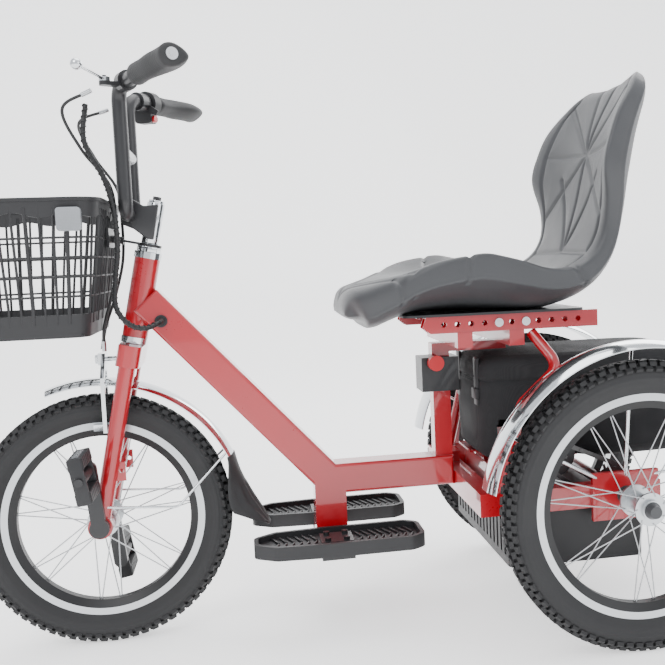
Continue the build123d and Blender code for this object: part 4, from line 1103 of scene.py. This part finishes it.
STEPS = (TRICYCLE_OT_frame_finishes, TRICYCLE_OT_tyres, TRICYCLE_OT_seat, TRICYCLE_OT_bag, TRICYCLE_OT_grips,
         TRICYCLE_OT_cables, TRICYCLE_OT_flap, TRICYCLE_OT_feet, TRICYCLE_OT_pedals, TRICYCLE_OT_basket,
         TRICYCLE_OT_stem, TRICYCLE_OT_chain, TRICYCLE_OT_stage)
CLASSES = (TricycleColours, TricycleSizes) + STEPS + (TRICYCLE_PT_panel,)


def register():
    for one in CLASSES:
        bpy.utils.register_class(one)
    bpy.types.Scene.tricycle_colours = bpy.props.PointerProperty(type=TricycleColours)
    bpy.types.Scene.tricycle_sizes = bpy.props.PointerProperty(type=TricycleSizes)


def unregister():
    del bpy.types.Scene.tricycle_colours
    del bpy.types.Scene.tricycle_sizes
    for one in reversed(CLASSES):
        bpy.utils.unregister_class(one)


def make_finishes(colours, sizes):
    """Every finish, keyed by the record's material slot; the last three are only for looks."""
    return {
        # stove enamel: deep gloss with a faint orange peel under a clear coat
        "red_enamel": finish("Gloss red enamel", colours.red, 0.0, 0.3, 3.0, 0.012, 0.06, coat=1.0),
        # powder coat: satin with a fine pebble
        "black_enamel": finish("Black powder coat", colours.black_paint, 0.0, 0.42, 1.0, 0.03, 0.15, coat=0.2),
        # chrome plate
        "chrome_plate": finish("Chrome plate", colours.chrome, 1.0, 0.09, 12.0, 0.01, 0.03),
        # machined aluminium
        "rim_alloy": finish("Machined aluminium", colours.alloy, 1.0, 0.32, 3.0, 0.015, 0.05, pattern="brushed"),
        # zinc-plated steel
        "spoke_steel": finish("Zinc-plated steel", colours.steel, 1.0, 0.28, 2.0, 0.01, 0.06),
        # oiled chain steel
        "drive_steel": finish("Oiled steel", colours.drive, 1.0, 0.38, 2.0, 0.02, 0.15),
        # moulded tyre rubber with dust in its broad cloud
        "tyre_rubber": finish("Tyre rubber", colours.rubber, 0.0, 0.72, 0.9, 0.06, 0.22),
        # synthetic leather with a small cell grain
        "seat_leather": finish("Synthetic leather", colours.leather, 0.0, 0.42, sizes.grain / MM, 0.05, 0.08,
                               pattern="cells"),
        # injection-moulded plastic
        "black_plastic": finish("Moulded black plastic", colours.plastic, 0.0, 0.5, 0.8, 0.03, 0.12),
        # soft-touch rubber
        "grip_rubber": finish("Grip rubber", colours.grip, 0.0, 0.62, 1.2, 0.05, 0.14, pattern="cells"),
        # woven polyester
        "bag_fabric": finish("Woven polyester", colours.fabric, 0.0, 0.85, sizes.weave / MM, 0.25, 0.2,
                             pattern="weave"),
        # cast motor housing under paint
        "motor_paint": finish("Cast motor paint", colours.plastic, 0.0, 0.4, 2.4, 0.05, 0.15, coat=0.3),
        # glossy button plastic
        "button_red": finish("Button plastic", colours.knob, 0.0, 0.25, 2.0, 0.01, 0.06, coat=0.5),
        # moulded knob plastic
        "knob_red": finish("Knob plastic", colours.knob, 0.0, 0.4, 1.2, 0.03, 0.08),
        # light grey base colour on the crossbar: a painted highlight
        "grey_bar": finish("Painted highlight grey", colours.painted_highlight_grey, 0.0, 0.4, 1.6, 0.02, 0.05, coat=0.3),
        # prismatic reflector plastic
        "reflector": finish("Reflector plastic", colours.reflector, 0.25, 0.22, 2.2, 0.35, 0.18, pattern="prism"),
        # vinyl cable sheath
        "cable_sheath": finish("Vinyl sheath", colours.sheath, 0.0, 0.42, 1.5, 0.02, 0.12),
        # anodised inner band of the rims
        "rim_black": finish("Black anodised rim", colours.rim_black, 0.2, 0.4, 2.0, 0.02, 0.12),
        # moulded axle cap
        "hub_cap": finish("Axle cap plastic", colours.cap, 0.0, 0.35, 1.5, 0.02, 0.1),
        # matt studio floor
        "studio_floor": finish("Studio floor", colours.floor, 0.0, 0.9, 4.0, 0.02, 0.01, wear_mm=400),
    }


def main():
    register()
    for old in list(bpy.data.objects):
        bpy.data.objects.remove(old)
    state["frame"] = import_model()
    scene = bpy.context.scene
    state["finishes"] = make_finishes(scene.tricycle_colours, scene.tricycle_sizes)
    for step in STEPS:
        area, name = step.bl_idname.split(".")
        getattr(getattr(bpy.ops, area), name)()


if __name__ == "__main__":
    main()
